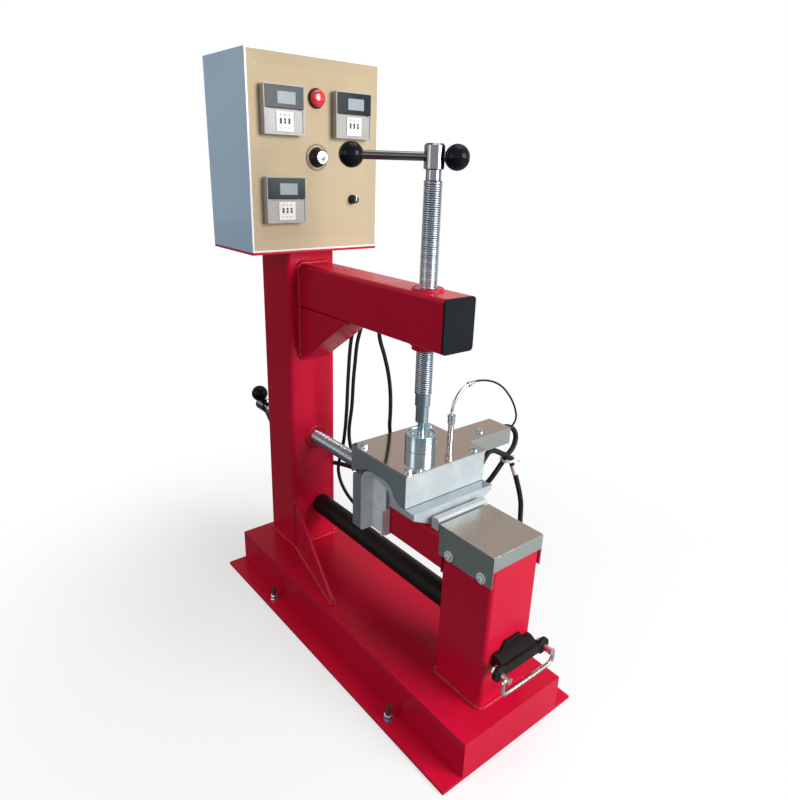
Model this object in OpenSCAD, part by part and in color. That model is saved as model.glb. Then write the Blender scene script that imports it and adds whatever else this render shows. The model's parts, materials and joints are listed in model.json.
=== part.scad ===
// Spot vulcanizer for tyre repair: welded frame, three heated moulds, two hand screws and a control box.
// Millimetres, +Z up, front towards -Y. The origin is the middle of the anchor holes, on the floor.

/* [Base] */
// Length of the base channel, front to back
base_len = 680; // [600:5:760]
// Width of the channel's top
base_w = 210; // [190:2:240]
// Height of the channel's top above the floor
base_h = 67; // [50:1:90]
// Sheet thickness of channel and flanges
base_t = 5; // [3:0.5:8]
// Width of each foot flange
flange_w = 38; // [32:1:60]
// Anchor hole diameter
anchor_d = 13; // [8:0.5:16]
// Anchor hole spacing across
anchor_span_x = 250; // [246:1:254]
// Anchor hole spacing front to back
anchor_span_y = 368; // [300:2:500]
// Middle of the base behind the middle of the anchor holes
base_shift = 10; // [0:1:30]

/* [Column] */
// Side of the square column tube
column_s = 100; // [90:1:120]
// Wall of column, pedestal and beam tubes
tube_t = 4; // [3:0.5:6]
// Outer corner radius of column, pedestal and beam tubes
tube_r = 8; // [5:0.5:12]
// Height of the column's top above the floor
column_top = 678; // [640:2:760]
// Column axis to the right of the base's middle
column_x = 6; // [0:1:12]
// Column back face in front of the base's rear end
column_rear = 14; // [0:1:40]
// Run of the column gusset along the base
gusset_run = 206; // [120:2:260]
// Height of the column gusset
gusset_h = 105; // [60:1:160]
// Thickness of the column gusset
gusset_t = 6; // [4:0.5:10]
// Turn of the column gusset, out from straight ahead
gusset_turn = 12; // [0:1:20]

/* [Arm] */
// Width of the arm tube
arm_w = 60; // [50:1:80]
// Height of the arm tube
arm_h = 80; // [60:1:100]
// Wall of the arm tube
arm_t = 4; // [3:0.5:6]
// Outer corner radius of the arm tube
arm_r = 6; // [4:0.5:10]
// Underside of the arm above the floor
arm_z = 573; // [540:1:590]
// Column front to the arm's end
arm_reach = 382; // [360:2:420]
// Flange thickness of the arm's end cap
cap_t = 4; // [2:0.5:8]
// Depth of the arm gusset down the column
arm_gusset_h = 98; // [60:1:120]
// Run of the arm gusset under the arm
arm_gusset_run = 150; // [100:2:200]

/* [Pedestal] */
// Side of the square pedestal tube
pedestal_s = 100; // [90:1:120]
// Top of pedestal and beam above the floor
beam_top = 315; // [290:1:340]
// Pedestal axis to the right of the base's middle
pedestal_x = 5; // [0:1:10]
// Pedestal front behind the base's front end
pedestal_front = 31; // [20:1:60]
// Height of the beam tube
beam_h = 60; // [50:1:80]
// Length of the beam behind the pedestal
beam_len = 125; // [120:1:130]
// Top of the pedestal's sheet cover above the beam
cover_rise = 18; // [12:1:20]
// Sheet thickness of the covers
sheet_t = 1.5; // [1:0.25:3]
// Depth of the pedestal cover's side skirts
cover_side = 51; // [40:1:70]
// Depth of the pedestal cover's front skirt
cover_front = 24; // [21:1:40]
// Pedestal cover past the pedestal's back face
cover_back = 6; // [2:1:8]
// Diameter of the tie tube
tie_d = 40; // [30:1:50]
// Wall of the tie tube
tie_t = 2.5; // [2:0.5:4]
// Tie tube axis above the floor
tie_z = 150; // [130:1:170]
// Tie tube axis to the right of the base's middle
tie_x = 20; // [10:1:24]

/* [Press] */
// Press plane to the right of the base's middle
press_x = 10; // [4:1:14]
// Press screw axis behind the middle of the anchor holes
press_y = -80; // [-84:1:-76]
// Outer diameter of both screws' threads
screw_d = 27; // [20:0.5:30]
// Bottom of the press screw's thread
thread_z0 = 491; // [480:1:500]
// Top of the press screw's thread
thread_z1 = 805; // [760:1:830]
// Length of the neck under a screw's head
neck_h = 13.5; // [8:0.5:20]
// Diameter of a screw's neck
neck_d = 22; // [16:0.5:24]
// Diameter of a screw's head
head_d = 29; // [26:0.5:36]
// Length of a screw's head
head_h = 34; // [28:1:44]
// Diameter of the T-bars
bar_d = 12; // [10:0.5:14]
// Distance between a T-bar's ball middles
bar_len = 146; // [120:2:200]
// Diameter of the ball knobs
ball_d = 35; // [30:1:40]
// Turn of the press T-bar at rest
bar_turn = -43; // [-80:1:0]
// Outer diameter of the press nut
nut_d = 42; // [38:1:50]
// Press nut above the arm
nut_past = 3; // [2:0.5:5]
// Press nut below the arm
nut_below = 10; // [3:0.5:14]

/* [Thrust joints] */
// Outer diameter of thrust cup and thrust ring
cup_d = 51; // [46:1:60]
// Height of the thrust cup with its cap
cup_h = 27; // [24:0.5:34]
// Thickness of a thrust cap
cup_cap = 8; // [5:0.5:10]
// Floor of the thrust cup
cup_floor = 6; // [4:0.5:9]
// Diameter of a screw's thrust flange
thrust_d = 30; // [26:0.5:34]
// Diameter of a screw's stem in its cap
stem_d = 12; // [10:0.5:16]
// Radial clearance of turning fits
run_gap = 0.05; // [0.02:0.01:0.1]
// End clearance of turning fits
end_gap = 0.15; // [0.1:0.05:0.3]

/* [Moulds] */
// Width of the moulds, left to right
mould_w = 166; // [150:2:190]
// Tray of the lower mould above the beam
tray_rise = 28; // [24:1:34]
// Crest of the lower mould's hump above the tray
hump_rise = 28; // [20:1:34]
// Depth of the flat tray, from the front edge to the foot of the sweep
tray_run = 27; // [20:1:32]
// Run of the S-shaped sweep up to the crest
sweep_run = 48; // [42:1:52]
// Flat length of the hump's crest
crest_run = 28; // [22:1:34]
// Radius over the back of the hump
hump_r = 30; // [24:1:34]
// Wall of the lower mould's casting
cast_t = 10; // [7:0.5:12]
// Depth of the hollow in each end of the hump
hump_hollow = 20; // [10:1:26]
// Width of the lower mould's foot on the beam
foot_w = 90; // [70:1:90]
// Front edge of the lower mould behind the middle of the anchor holes
mould_front = -165; // [-166:1:-164]
// Gap between the closed upper and lower moulds
seam_gap = 0.5; // [0.3:0.1:1]
// Upper mould's front face behind the lower mould's front edge
upper_back = 21; // [16:1:26]
// Depth of the upper mould, front to back
upper_len = 138; // [134:1:142]
// Thickness of the upper mould above the hump's crest
upper_h = 25; // [22:1:34]
// Radius under the back of the upper mould
upper_r = 81; // [70:1:100]
// Cover plate past the upper mould, front and back
plate_past = 2; // [0:0.5:4]
// Thickness of the cover plate
plate_t = 2; // [1.5:0.25:4]
// Length of the terminal hood past the plate's right edge
hood_len = 104; // [80:2:120]
// Width of the terminal hood
hood_w = 51; // [40:1:60]
// Depth of the terminal hood's skirts
hood_h = 30; // [20:1:32]
// Thickness of the side mould
side_t = 19; // [16:0.5:26]
// Height of the side mould
side_h = 95; // [88:1:96]
// Gap between side mould and hump at rest
side_gap = 2.5; // [1:0.25:4]
// Side screw axis above the floor
side_z = 306; // [302:1:310]
// Side T-bar's middle behind the column's back face
side_reach = 118; // [90:2:140]
// Turn of the side T-bar away from upright
side_turn = 20; // [0:1:40]
// Diameter of the cartridge heaters
heater_d = 10; // [8:0.5:12]
// Radial clearance of heaters in their bores
heater_gap = 0.2; // [0.1:0.05:0.3]
// Section of the clamp bar, front to back
clamp_w = 16; // [12:0.5:20]
// Height of the clamp bar
clamp_h = 20; // [14:0.5:26]
// Gap between clamp bar and lower mould
clamp_gap = 5; // [1:0.5:6]
// Length of the clamp bar
clamp_len = 104; // [80:1:110]

/* [Control box] */
// Width of the control box
box_w = 250; // [240:2:280]
// Height of the control box
box_h = 300; // [290:2:340]
// Depth of the control box
box_d = 148; // [130:2:180]
// Control box's middle to the right of the base's middle
box_x = -8; // [-20:1:0]
// Control box's back behind the column's back face
box_back = 2; // [0:1:10]
// Sheet thickness of the box and its panel
box_t = 1.5; // [1:0.25:2.5]
// Width of the rim round the front panel
rim_w = 6; // [5:0.5:10]
// Thickness of the top plate under the box
plinth_t = 4; // [3:0.5:8]
// Side of a controller's square front
ctrl_s = 72; // [66:1:74]
// Controller front past the panel
ctrl_proud = 13; // [10:0.5:16]
// Controller housing behind the panel
ctrl_deep = 75; // [60:1:90]
// Spacing of the controllers across
ctrl_dx = 132; // [120:1:136]
// Spacing of the controllers up and down
ctrl_dz = 134; // [120:1:140]
// Upper controllers' middle below the box's top
ctrl_top = 83; // [70:1:90]
// Diameter of a digit wheel
wheel_d = 16; // [13:0.5:18]
// Width of a digit wheel
wheel_w = 6; // [5:0.25:7]
// Spacing of the digit wheels
wheel_pitch = 7.5; // [7.25:0.25:8]
// Diameter of the digit wheels' axle
axle_d = 3; // [2:0.25:4]
// Diameter of the lamp's bezel
lamp_d = 25; // [22:0.5:29]
// Diameter of the timer's dial ring
dial_d = 42; // [38:0.5:50]
// Diameter of the timer knob's skirt
timer_d = 28; // [24:0.5:34]
// Diameter of the switch knob
switch_d = 16; // [14:0.5:22]

/* [Front handle] */
// Spacing of the handle's posts
post_dx = 94; // [86:1:104]
// Height of the handle's posts above the floor
post_z = 150; // [140:1:170]
// Diameter of the handle's posts
post_d = 10; // [9:0.5:12]
// Bail axis in front of the pedestal
post_reach = 38; // [34:1:44]
// Rod diameter of the bail
bail_d = 5; // [4:0.25:6]
// Drop of the bail below its axis
bail_drop = 30; // [26:1:36]
// Bend radius at the bail's lower corners
bail_r = 10; // [6:0.5:14]

/* [Cables] */
// Diameter of the heater cables
cable_d = 7; // [6:0.5:8]
// Diameter of the probe's lead
lead_d = 3.5; // [3:0.25:4]
// Diameter of the sleeved cables of the upper and lower moulds
sleeve_d = 9.5; // [8:0.5:10]
// Outer diameter of the cable bushes
bush_d = 14; // [12:0.5:18]
// Bush length past its wall
bush_past = 5; // [3:0.5:7]
// Radial clearance of cables in their bushes
cable_gap = 0.2; // [0.1:0.05:0.4]

/* [Hidden] */
$fn = 64;
// Overlap that keeps cuts clean
eps = 0.5;

// Base length that press_y, mould_front, arm_reach and the cable routes are given for
base_ref = 680;
// A longer base moves the press forward and the column back by this
grow = (base_len - base_ref) / 2;
axis_y = press_y - grow;
mould_y0 = mould_front - grow;
arm_len = arm_reach + 2 * grow;

// Frame places
base_y0 = base_shift - base_len / 2;
base_y1 = base_shift + base_len / 2;
column_y1 = base_y1 - column_rear;
column_y0 = column_y1 - column_s;
arm_y0 = column_y0 - arm_len;
arm_top = arm_z + arm_h;
pedestal_y0 = base_y0 + pedestal_front;
pedestal_y1 = pedestal_y0 + pedestal_s;
beam_y1 = pedestal_y1 + beam_len;
beam_z0 = beam_top - beam_h;
cover_top = beam_top + cover_rise;

// Mould seam, front to back
tray_z = beam_top + tray_rise;
crest_z = tray_z + hump_rise;
seam_y1 = mould_y0 + tray_run;
seam_y2 = seam_y1 + sweep_run;
seam_y3 = seam_y2 + crest_run;
seam_y4 = seam_y3 + hump_r;
sweep_r = (sweep_run * sweep_run + hump_rise * hump_rise) / (4 * hump_rise);
upper_y0 = mould_y0 + upper_back;
upper_y1 = upper_y0 + upper_len;
upper_top = crest_z + seam_gap + upper_h;
plate_top = upper_top + plate_t;
plate_y0 = upper_y0 - plate_past;
plate_y1 = upper_y1 + plate_past;
plate_x1 = press_x + mould_w / 2;
hood_y0 = axis_y - 27;
probe_dx = 64;
probe_dy = 2;

// Press screw places
cup_top = plate_top + cup_h;
cup_wall = 3.5;
cap_sunk = 1.5;
flange_z0 = plate_top + cup_floor + end_gap;
flange_z1 = cup_top - cup_cap - end_gap;
head_z0 = thread_z1 + neck_h;
bar_z = head_z0 + head_h / 2;
ball_flat = ball_d / 2 - 1;
ball_off = head_d / 2 + ball_flat + 0.3;

// Side mould places
side_y0 = seam_y4 + side_gap;
side_y1 = side_y0 + side_t;
boss_len = 16;
ring_t = 6;
side_cap_y = side_y1 + boss_len;
side_head_y = column_y1 + side_reach;
side_z0 = beam_z0;

// Control box places
box_z0 = column_top + plinth_t;
box_y1 = column_y1 + box_back;
box_y0 = box_y1 - box_d;
panel_y = box_y0 + box_t;
ctrl_z = box_z0 + box_h - ctrl_top;
ctrl_at = [
    [box_x - ctrl_dx / 2, ctrl_z],
    [box_x + ctrl_dx / 2, ctrl_z],
    [box_x - ctrl_dx / 2, ctrl_z - ctrl_dz]
];
ctrl_body = ctrl_s - 6;
ctrl_y0 = panel_y - ctrl_proud;
wheel_z = -16;
wheel_y = ctrl_y0 + wheel_d / 2 + 0.6;
wheel_gap = 0.5;
lamp_at = [box_x, ctrl_z + 22];
dial_at = [box_x, ctrl_z - ctrl_dz / 2];
switch_at = [box_x + 72, ctrl_z - ctrl_dz];

// Handle places
post_y = pedestal_y0 - post_reach;
ear_back = 20;
ear_y = pedestal_y0 - ear_back;
ear_d = 26;
ear_t = 6;
bar_h = 16;
post_nut_d = 15;
post_nut_h = 6;
leg_x = post_dx / 2 + post_d / 2 + bail_d / 2 + 0.5;

// Cable places
arm_side = press_x + arm_w / 2;
column_side = column_x + column_s / 2;
pedestal_side = pedestal_x + pedestal_s / 2;
// Cables follow the moulds up to here, and the column from here on
cable_front = 12;
cable_rear = 150;
hump_rear = 50;
function along(y, rear = cable_rear) = y - grow + 2 * grow * min(max((y - cable_front) / (rear - cable_front), 0), 1);
function along_route(route, rear = cable_rear) = [for (p = route) [p[0], along(p[1], rear), p[2]]];
side_bush_y = [along(150), along(170)];
side_bush_z = 600;
hump_bush = [22, along(50, hump_rear)];
column_bush = [along(276), 216];
pedestal_bush = [along(-240), 160];
foot_hole = [along(-110), 324];
tie_at = [214, along(-92.3), 327];

// Cable routes, points chosen by hand along the hanging lines
side_route_a = along_route([
    [36, 170, 600], [50, 170, 600], [60, 170, 585], [58, 171, 548], [50, 172, 512], [46, 175, 438],
    [44, 176, 381], [44, 181, 335], [45, 189, 300], [50, 204, 272], [57, 221, 244], [63, 234, 216],
    [66, 231, 192], [64, 212, 177], [60, 181, 168], [53, 140, 168], [44, 100, 186], [38, 60, 224],
    [35, 30, 262], [35, 8, 275], [35, -10.5, 275]
]);
side_route_b = along_route([
    [36, 150, 600], [50, 150, 600], [62, 151, 586], [62, 154, 550], [56, 160, 511], [54, 164, 470],
    [53, 167, 439], [53, 172, 380], [52, 179, 333], [52, 178, 308], [52, 170, 288], [52, 150, 268],
    [52, 116, 254], [53, 76, 250], [54, 36, 261], [55, 10, 270], [55, -10.5, 270]
]);
hump_route = along_route([
    [22, 50, 577], [22, 50, 558], [25, 50, 543], [33, 50, 521], [44, 50, 483], [50, 50, 445], [52, 51, 410],
    [54, 54, 376], [63, 58, 352], [82, 58, 332], [104, 48, 316], [118, 22, 305], [119, -20, 301], [100, -54, 301],
    [73, -54, 301]
], hump_rear);
lower_route = along_route([
    [46, -110, 324], [76, -110, 324], [100, -109, 324.5], [122, -106, 336], [138, -103, 351], [152, -100.5, 360],
    [164, -99.5, 360], [177, -98.5, 354], [190, -98, 346.5], [203, -97.7, 339.5], [212, -97.6, 332.5],
    [219, -98, 321], [225, -101, 306], [232, -104, 284], [240, -107, 258], [246, -109, 232], [247, -110, 212],
    [244, -114, 192], [232, -126, 174], [202, -152, 162], [150, -198, 158], [84, -240, 160], [51, -240, 160]
]);
upper_route = along_route([
    [93, -78, 383], [150, -78, 383], [200, -78, 386], [223, -79, 384], [238, -80.5, 375], [244, -82, 361],
    [240, -84, 348], [231, -86, 339], [218, -87, 331], [205, -86, 316], [192, -84, 300], [181, -80, 285],
    [165, -68, 268], [144, -34, 250], [126, 20, 236], [112, 90, 226], [103, 160, 219], [95, 220, 216],
    [80, 258, 216], [64, 276, 216], [50, 276, 216]
]);
lead_route = along_route([
    [122, -82, 489.8], [128, -82, 490.3], [141, -82, 489], [158, -82, 485], [176, -82, 478], [195, -82, 466],
    [213, -82, 448.5], [225.5, -82, 432.5], [236, -81, 415.5], [243, -79, 399], [244, -75, 385], [237, -70, 374],
    [221, -67, 375], [200, -66, 382], [150, -66, 386], [93, -66, 386]
]);

// Rounded rectangle of true arcs, centred
module round_rect(w, h, r) {
    union() {
        square([w - 2 * r, h], center = true);
        square([w, h - 2 * r], center = true);
        for (sx = [-1, 1]) {
            for (sy = [-1, 1]) {
                translate([sx * (w / 2 - r), sy * (h / 2 - r)])
                    circle(r);
            }
        }
    }
}

// Tube section with rounded corners, centred
module tube_2d(w, h, t, r) {
    difference() {
        round_rect(w, h, r);
        round_rect(w - 2 * t, h - 2 * t, max(r - t, 1));
    }
}

// Extrude a profile drawn in Y and Z across X, centred on the press plane
module across(w) {
    translate([press_x, 0, 0])
        rotate([90, 0, 90])
            linear_extrude(w, center = true)
                children();
}

// Cylinders along X and along Y, from one end to the other
module rod_x(d, x0, x1) {
    translate([x0, 0, 0])
        rotate([0, 90, 0])
            cylinder(d = d, h = x1 - x0);
}

module rod_y(d, y0, y1) {
    translate([0, y0, 0])
        rotate([-90, 0, 0])
            cylinder(d = d, h = y1 - y0);
}

// Profile under the mould seam, from the front edge to the back of the hump, down to z0
module under_seam(z0) {
    mid_y = (seam_y1 + seam_y2) / 2;
    mid_z = (tray_z + crest_z) / 2;
    top_c = crest_z - sweep_r;
    back_c = crest_z - hump_r;
    union() {
        translate([mould_y0, z0])
            square([mid_y - mould_y0, tray_z - z0]);
        difference() {
            translate([seam_y1, tray_z - eps])
                square([mid_y - seam_y1, mid_z - tray_z + eps]);
            translate([seam_y1, tray_z + sweep_r])
                circle(sweep_r, $fn = 128);
        }
        intersection() {
            translate([mid_y, min(top_c, tray_z) - eps])
                square([seam_y2 - mid_y, crest_z]);
            translate([seam_y2, top_c])
                circle(sweep_r, $fn = 128);
        }
        translate([mid_y, z0])
            square([seam_y2 - mid_y, max(top_c, tray_z) - z0]);
        translate([seam_y2, z0])
            square([crest_run, crest_z - z0]);
        intersection() {
            translate([seam_y3, back_c])
                circle(hump_r, $fn = 128);
            translate([seam_y3, back_c])
                square(hump_r);
        }
        translate([seam_y3, z0])
            square([hump_r, back_c - z0]);
    }
}

// Hollow under the hump's skin: the sweep and crest drawn in by the casting's wall
module hump_hollow_2d() {
    top_c = crest_z - sweep_r;
    back_c = crest_z - hump_r;
    in_r = hump_r - cast_t;
    sweep_in = sweep_r - cast_t;
    union() {
        intersection() {
            translate([seam_y2, top_c])
                circle(sweep_in);
            translate([seam_y2 - sweep_in, top_c - sweep_in])
                square([sweep_in, 2 * sweep_in]);
        }
        translate([seam_y2 - sweep_in, beam_z0 - eps])
            square([sweep_in, top_c - beam_z0 + eps]);
        translate([seam_y2, beam_z0 - eps])
            square([crest_run, crest_z - cast_t - beam_z0 + eps]);
        intersection() {
            translate([seam_y3, back_c])
                circle(in_r);
            translate([seam_y3, back_c])
                square(in_r);
        }
        translate([seam_y3, beam_z0 - eps])
            square([in_r, back_c - beam_z0 + eps]);
    }
}

// Tube swept along a route: one ring of points at each route point
function unit(v) = v / norm(v);
function heading(route, i) = unit(route[min(i + 1, len(route) - 1)] - route[max(i - 1, 0)]);
function ring_at(p, t, ref, r, sides) =
    let (u = unit(cross(t, ref)), v = cross(t, u))
    [for (k = [0 : sides - 1]) p + r * cos(360 * k / sides) * u + r * sin(360 * k / sides) * v];

module cable(route, d, ref, sides) {
    n = len(route);
    points = [for (i = [0 : n - 1]) each ring_at(route[i], heading(route, i), ref, d / 2, sides)];
    side_faces = [
        for (i = [0 : n - 2])
            for (k = [0 : sides - 1])
                let (a = i * sides + k, b = i * sides + (k + 1) % sides)
                each [[a, b, b + sides], [a, b + sides, a + sides]]
    ];
    start_cap = [for (k = [1 : sides - 2]) [0, k + 1, k]];
    last = (n - 1) * sides;
    end_cap = [for (k = [1 : sides - 2]) [last, last + k, last + k + 1]];
    polyhedron(points, concat(side_faces, start_cap, end_cap));
}

// A screw's round profile, from the thrust flange at 0 to the top of the head
module screw_body(flange_h, stem_top, thread_lo, thread_hi) {
    top = thread_hi + neck_h + head_h;
    ease = 1.5;
    step_lo = stem_d + 8.5;
    step_hi = screw_d - 3;
    step_z = stem_top + (thread_lo - stem_top) * 0.56;
    rotate_extrude()
        polygon([
            [0, 0], [thrust_d / 2, 0], [thrust_d / 2, flange_h], [stem_d / 2, flange_h],
            [stem_d / 2, stem_top], [step_lo / 2, stem_top + ease], [step_lo / 2, step_z],
            [step_hi / 2, step_z + 2], [step_hi / 2, thread_lo], [screw_d / 2, thread_lo + ease],
            [screw_d / 2, thread_hi - ease], [neck_d / 2, thread_hi], [neck_d / 2, thread_hi + neck_h],
            [head_d / 2, thread_hi + neck_h + ease], [head_d / 2, top - ease - 1],
            [head_d / 2 - ease - 1, top], [0, top]
        ]);
}

// Ball knob with a flat towards -X and a blind bore for the rod
module ball_knob() {
    difference() {
        intersection() {
            sphere(d = ball_d);
            translate([-ball_flat, -ball_d, -ball_d])
                cube(2 * ball_d);
        }
        rod_x(bar_d, -ball_d, ball_d / 5);
    }
}

module base() {
    color("crimson")
    difference() {
        union() {
            translate([-base_w / 2, base_y0, 0])
                cube([base_w, base_len, base_h]);
            translate([-base_w / 2 - flange_w, base_y0, 0])
                cube([base_w + 2 * flange_w, base_len, base_t]);
        }
        translate([-base_w / 2 + base_t, base_y0 + base_t, -eps])
            cube([base_w - 2 * base_t, base_len - 2 * base_t, base_h - base_t + eps]);
        for (sx = [-1, 1]) {
            for (sy = [-1, 1]) {
                translate([sx * anchor_span_x / 2, sy * anchor_span_y / 2, -eps])
                    cylinder(d = anchor_d, h = base_t + 2 * eps);
            }
        }
    }
}

module column_outline() {
    translate([column_x, (column_y0 + column_y1) / 2])
        round_rect(column_s, column_s, tube_r);
}

module column() {
    color("crimson")
    difference() {
        translate([column_x, (column_y0 + column_y1) / 2, base_h])
            linear_extrude(column_top - base_h)
                tube_2d(column_s, column_s, tube_t, tube_r);
        translate([press_x, 0, side_z])
            rod_y(nut_d, column_y0 - eps, column_y0 + tube_t + eps);
        translate([press_x, 0, side_z])
            rod_y(screw_d + 3, column_y1 - tube_t - eps, column_y1 + eps);
        translate([0, column_bush[0], column_bush[1]])
            rod_x(bush_d, column_side - tube_t - eps, column_side + eps);
    }
}

// Plate that braces the column's front left corner, cut to the corner's round
module column_gusset() {
    toe = 6;
    heel = 8;
    color("crimson")
    difference() {
        translate([column_x - column_s / 2 + gusset_t, column_y0, base_h])
            rotate([0, 0, -gusset_turn])
                rotate([90, 0, -90])
                    linear_extrude(gusset_t)
                        polygon([
                            [-2 * tube_r, 0], [gusset_run, 0], [gusset_run, toe],
                            [heel, gusset_h], [-2 * tube_r, gusset_h]
                        ]);
        translate([0, 0, base_h - eps])
            linear_extrude(gusset_h + 2 * eps)
                column_outline();
    }
}

module arm() {
    color("crimson")
    difference() {
        translate([press_x, column_y0, (arm_z + arm_top) / 2])
            rotate([90, 0, 0])
                linear_extrude(arm_len)
                    tube_2d(arm_w, arm_h, arm_t, arm_r);
        translate([press_x, axis_y, arm_z - eps])
            cylinder(d = nut_d, h = arm_h + 2 * eps);
        for (y = side_bush_y) {
            translate([0, y, side_bush_z])
                rod_x(bush_d, arm_side - arm_t - eps, arm_side + eps);
        }
        translate([hump_bush[0], hump_bush[1], arm_z - eps])
            cylinder(d = bush_d, h = arm_t + 2 * eps);
    }
}

module arm_gusset() {
    color("crimson")
    translate([press_x, 0, 0])
        rotate([90, 0, 90])
            linear_extrude(arm_w, center = true)
                polygon([
                    [column_y0, arm_z], [column_y0, arm_z - arm_gusset_h],
                    [column_y0 - 6, arm_z - arm_gusset_h], [column_y0 - arm_gusset_run, arm_z]
                ]);
}

module arm_end_cap() {
    plug = 14;
    color("black")
    difference() {
        union() {
            translate([press_x, arm_y0, (arm_z + arm_top) / 2])
                rotate([90, 0, 0])
                    linear_extrude(cap_t)
                        round_rect(arm_w, arm_h, arm_r);
            translate([press_x, arm_y0 + plug, (arm_z + arm_top) / 2])
                rotate([90, 0, 0])
                    linear_extrude(plug)
                        round_rect(arm_w - 2 * arm_t, arm_h - 2 * arm_t, max(arm_r - arm_t, 1));
        }
        translate([press_x, arm_y0 + plug + eps, (arm_z + arm_top) / 2])
            rotate([90, 0, 0])
                linear_extrude(plug)
                    round_rect(arm_w - 2 * arm_t - 6, arm_h - 2 * arm_t - 6, 2);
    }
}

module press_nut() {
    h = arm_h + nut_past + nut_below;
    color("firebrick")
    translate([press_x, axis_y, arm_z - nut_below])
        difference() {
            cylinder(d = nut_d, h = h);
            translate([0, 0, -eps])
                cylinder(d = screw_d + 2 * run_gap, h = h + 2 * eps);
        }
}

module top_plate() {
    color("crimson")
    translate([box_x - box_w / 2, box_y0, column_top])
        cube([box_w, box_d, plinth_t]);
}

module pedestal() {
    color("crimson")
    difference() {
        union() {
            translate([pedestal_x, (pedestal_y0 + pedestal_y1) / 2, base_h])
                linear_extrude(beam_top - base_h)
                    tube_2d(pedestal_s, pedestal_s, tube_t, tube_r);
            translate([pedestal_x, (pedestal_y0 + pedestal_y1) / 2, beam_top - tube_t])
                linear_extrude(tube_t)
                    round_rect(pedestal_s, pedestal_s, tube_r);
        }
        translate([0, pedestal_bush[0], pedestal_bush[1]])
            rod_x(bush_d, pedestal_side - tube_t - eps, pedestal_side + eps);
    }
}

module beam() {
    color("crimson")
    translate([pedestal_x, beam_y1, beam_top - beam_h / 2])
        rotate([90, 0, 0])
            linear_extrude(beam_len)
                tube_2d(pedestal_s, beam_h, tube_t, tube_r);
}

module pedestal_cover() {
    w = pedestal_s + 2 * sheet_t;
    y0 = pedestal_y0 - sheet_t;
    len = pedestal_s + cover_back + sheet_t;
    inner_z = cover_top - sheet_t;
    color("silver")
    difference() {
        translate([pedestal_x - w / 2, y0, cover_top - cover_side])
            cube([w, len, cover_side]);
        translate([pedestal_x - w / 2 + sheet_t, y0 + sheet_t, cover_top - cover_side - eps])
            cube([w - 2 * sheet_t, len, cover_side - sheet_t + eps]);
        translate([pedestal_x - w / 2 + sheet_t, y0 - eps, cover_top - cover_side - eps])
            cube([w - 2 * sheet_t, len, cover_side - cover_front + eps]);
    }
}

module tie_tube() {
    color("dimgray")
    translate([tie_x, 0, tie_z])
        difference() {
            rod_y(tie_d, pedestal_y1, column_y0);
            rod_y(tie_d - 2 * tie_t, pedestal_y1 - eps, column_y0 + eps);
        }
}

module control_box() {
    color("lightsteelblue")
    difference() {
        translate([box_x - box_w / 2, box_y0, box_z0])
            cube([box_w, box_d, box_h]);
        translate([box_x - box_w / 2 + box_t, panel_y, box_z0 + box_t])
            cube([box_w - 2 * box_t, box_d - 2 * box_t, box_h - 2 * box_t]);
        translate([box_x - box_w / 2 + rim_w, box_y0 - eps, box_z0 + rim_w])
            cube([box_w - 2 * rim_w, box_d / 2, box_h - 2 * rim_w]);
        translate([box_x + box_w / 4, 0, box_z0 + 40])
            rod_y(12, box_y1 - box_t - eps, box_y1 + eps);
    }
}

module control_panel() {
    color("wheat")
    difference() {
        translate([box_x - box_w / 2 + box_t, panel_y, box_z0 + box_t])
            cube([box_w - 2 * box_t, box_t, box_h - 2 * box_t]);
        for (at = ctrl_at) {
            translate([at[0] - ctrl_body / 2, panel_y - eps, at[1] - ctrl_body / 2])
                cube([ctrl_body, box_t + 2 * eps, ctrl_body]);
        }
        translate([lamp_at[0], 0, lamp_at[1]])
            rod_y(lamp_d - 5, panel_y - eps, panel_y + box_t + eps);
        for (at = [dial_at, switch_at]) {
            translate([at[0], 0, at[1]])
                rod_y(7, panel_y - eps, panel_y + box_t + eps);
        }
    }
}

// One controller at its own middle: bezel, housing, window recess, wheel slot and wheel axle
module controller_case() {
    slot_w = 2 * wheel_pitch + wheel_w + 2 * wheel_gap;
    slot_h = wheel_d + 2 * wheel_gap;
    slot_d = wheel_d + 2;
    win_w = ctrl_s - 12;
    difference() {
        union() {
            translate([0, panel_y, 0])
                rotate([90, 0, 0])
                    linear_extrude(ctrl_proud)
                        round_rect(ctrl_s, ctrl_s, 3);
            translate([-ctrl_body / 2, panel_y, -ctrl_body / 2])
                cube([ctrl_body, ctrl_deep, ctrl_body]);
        }
        translate([-win_w / 2, ctrl_y0 - eps, 0])
            cube([win_w, 2 + eps, ctrl_s / 2 - 6]);
        translate([-slot_w / 2, ctrl_y0 - eps, wheel_z - slot_h / 2])
            cube([slot_w, slot_d + eps, slot_h]);
    }
    translate([0, wheel_y, wheel_z])
        rod_x(axle_d, -slot_w / 2 - 1, slot_w / 2 + 1);
}

module controller_cases() {
    color("lightgray")
    for (at = ctrl_at) {
        translate([at[0], 0, at[1]])
            controller_case();
    }
}

module controller_windows() {
    win_w = ctrl_s - 12;
    color("darkslategray")
    for (at = ctrl_at) {
        translate([at[0] - win_w / 2, ctrl_y0 + 0.5, at[1]])
            cube([win_w, 1.5, ctrl_s / 2 - 6]);
    }
}

// Digit wheel n of nine: three on each controller's axle
module digit_wheel(n) {
    at = ctrl_at[floor((n - 1) / 3)];
    dx = ((n - 1) % 3 - 1) * wheel_pitch;
    color("white")
    translate([at[0] + dx, wheel_y, at[1] + wheel_z])
        difference() {
            rod_x(wheel_d, -wheel_w / 2, wheel_w / 2);
            rod_x(axle_d + 2 * run_gap, -wheel_w, wheel_w);
        }
}

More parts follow.
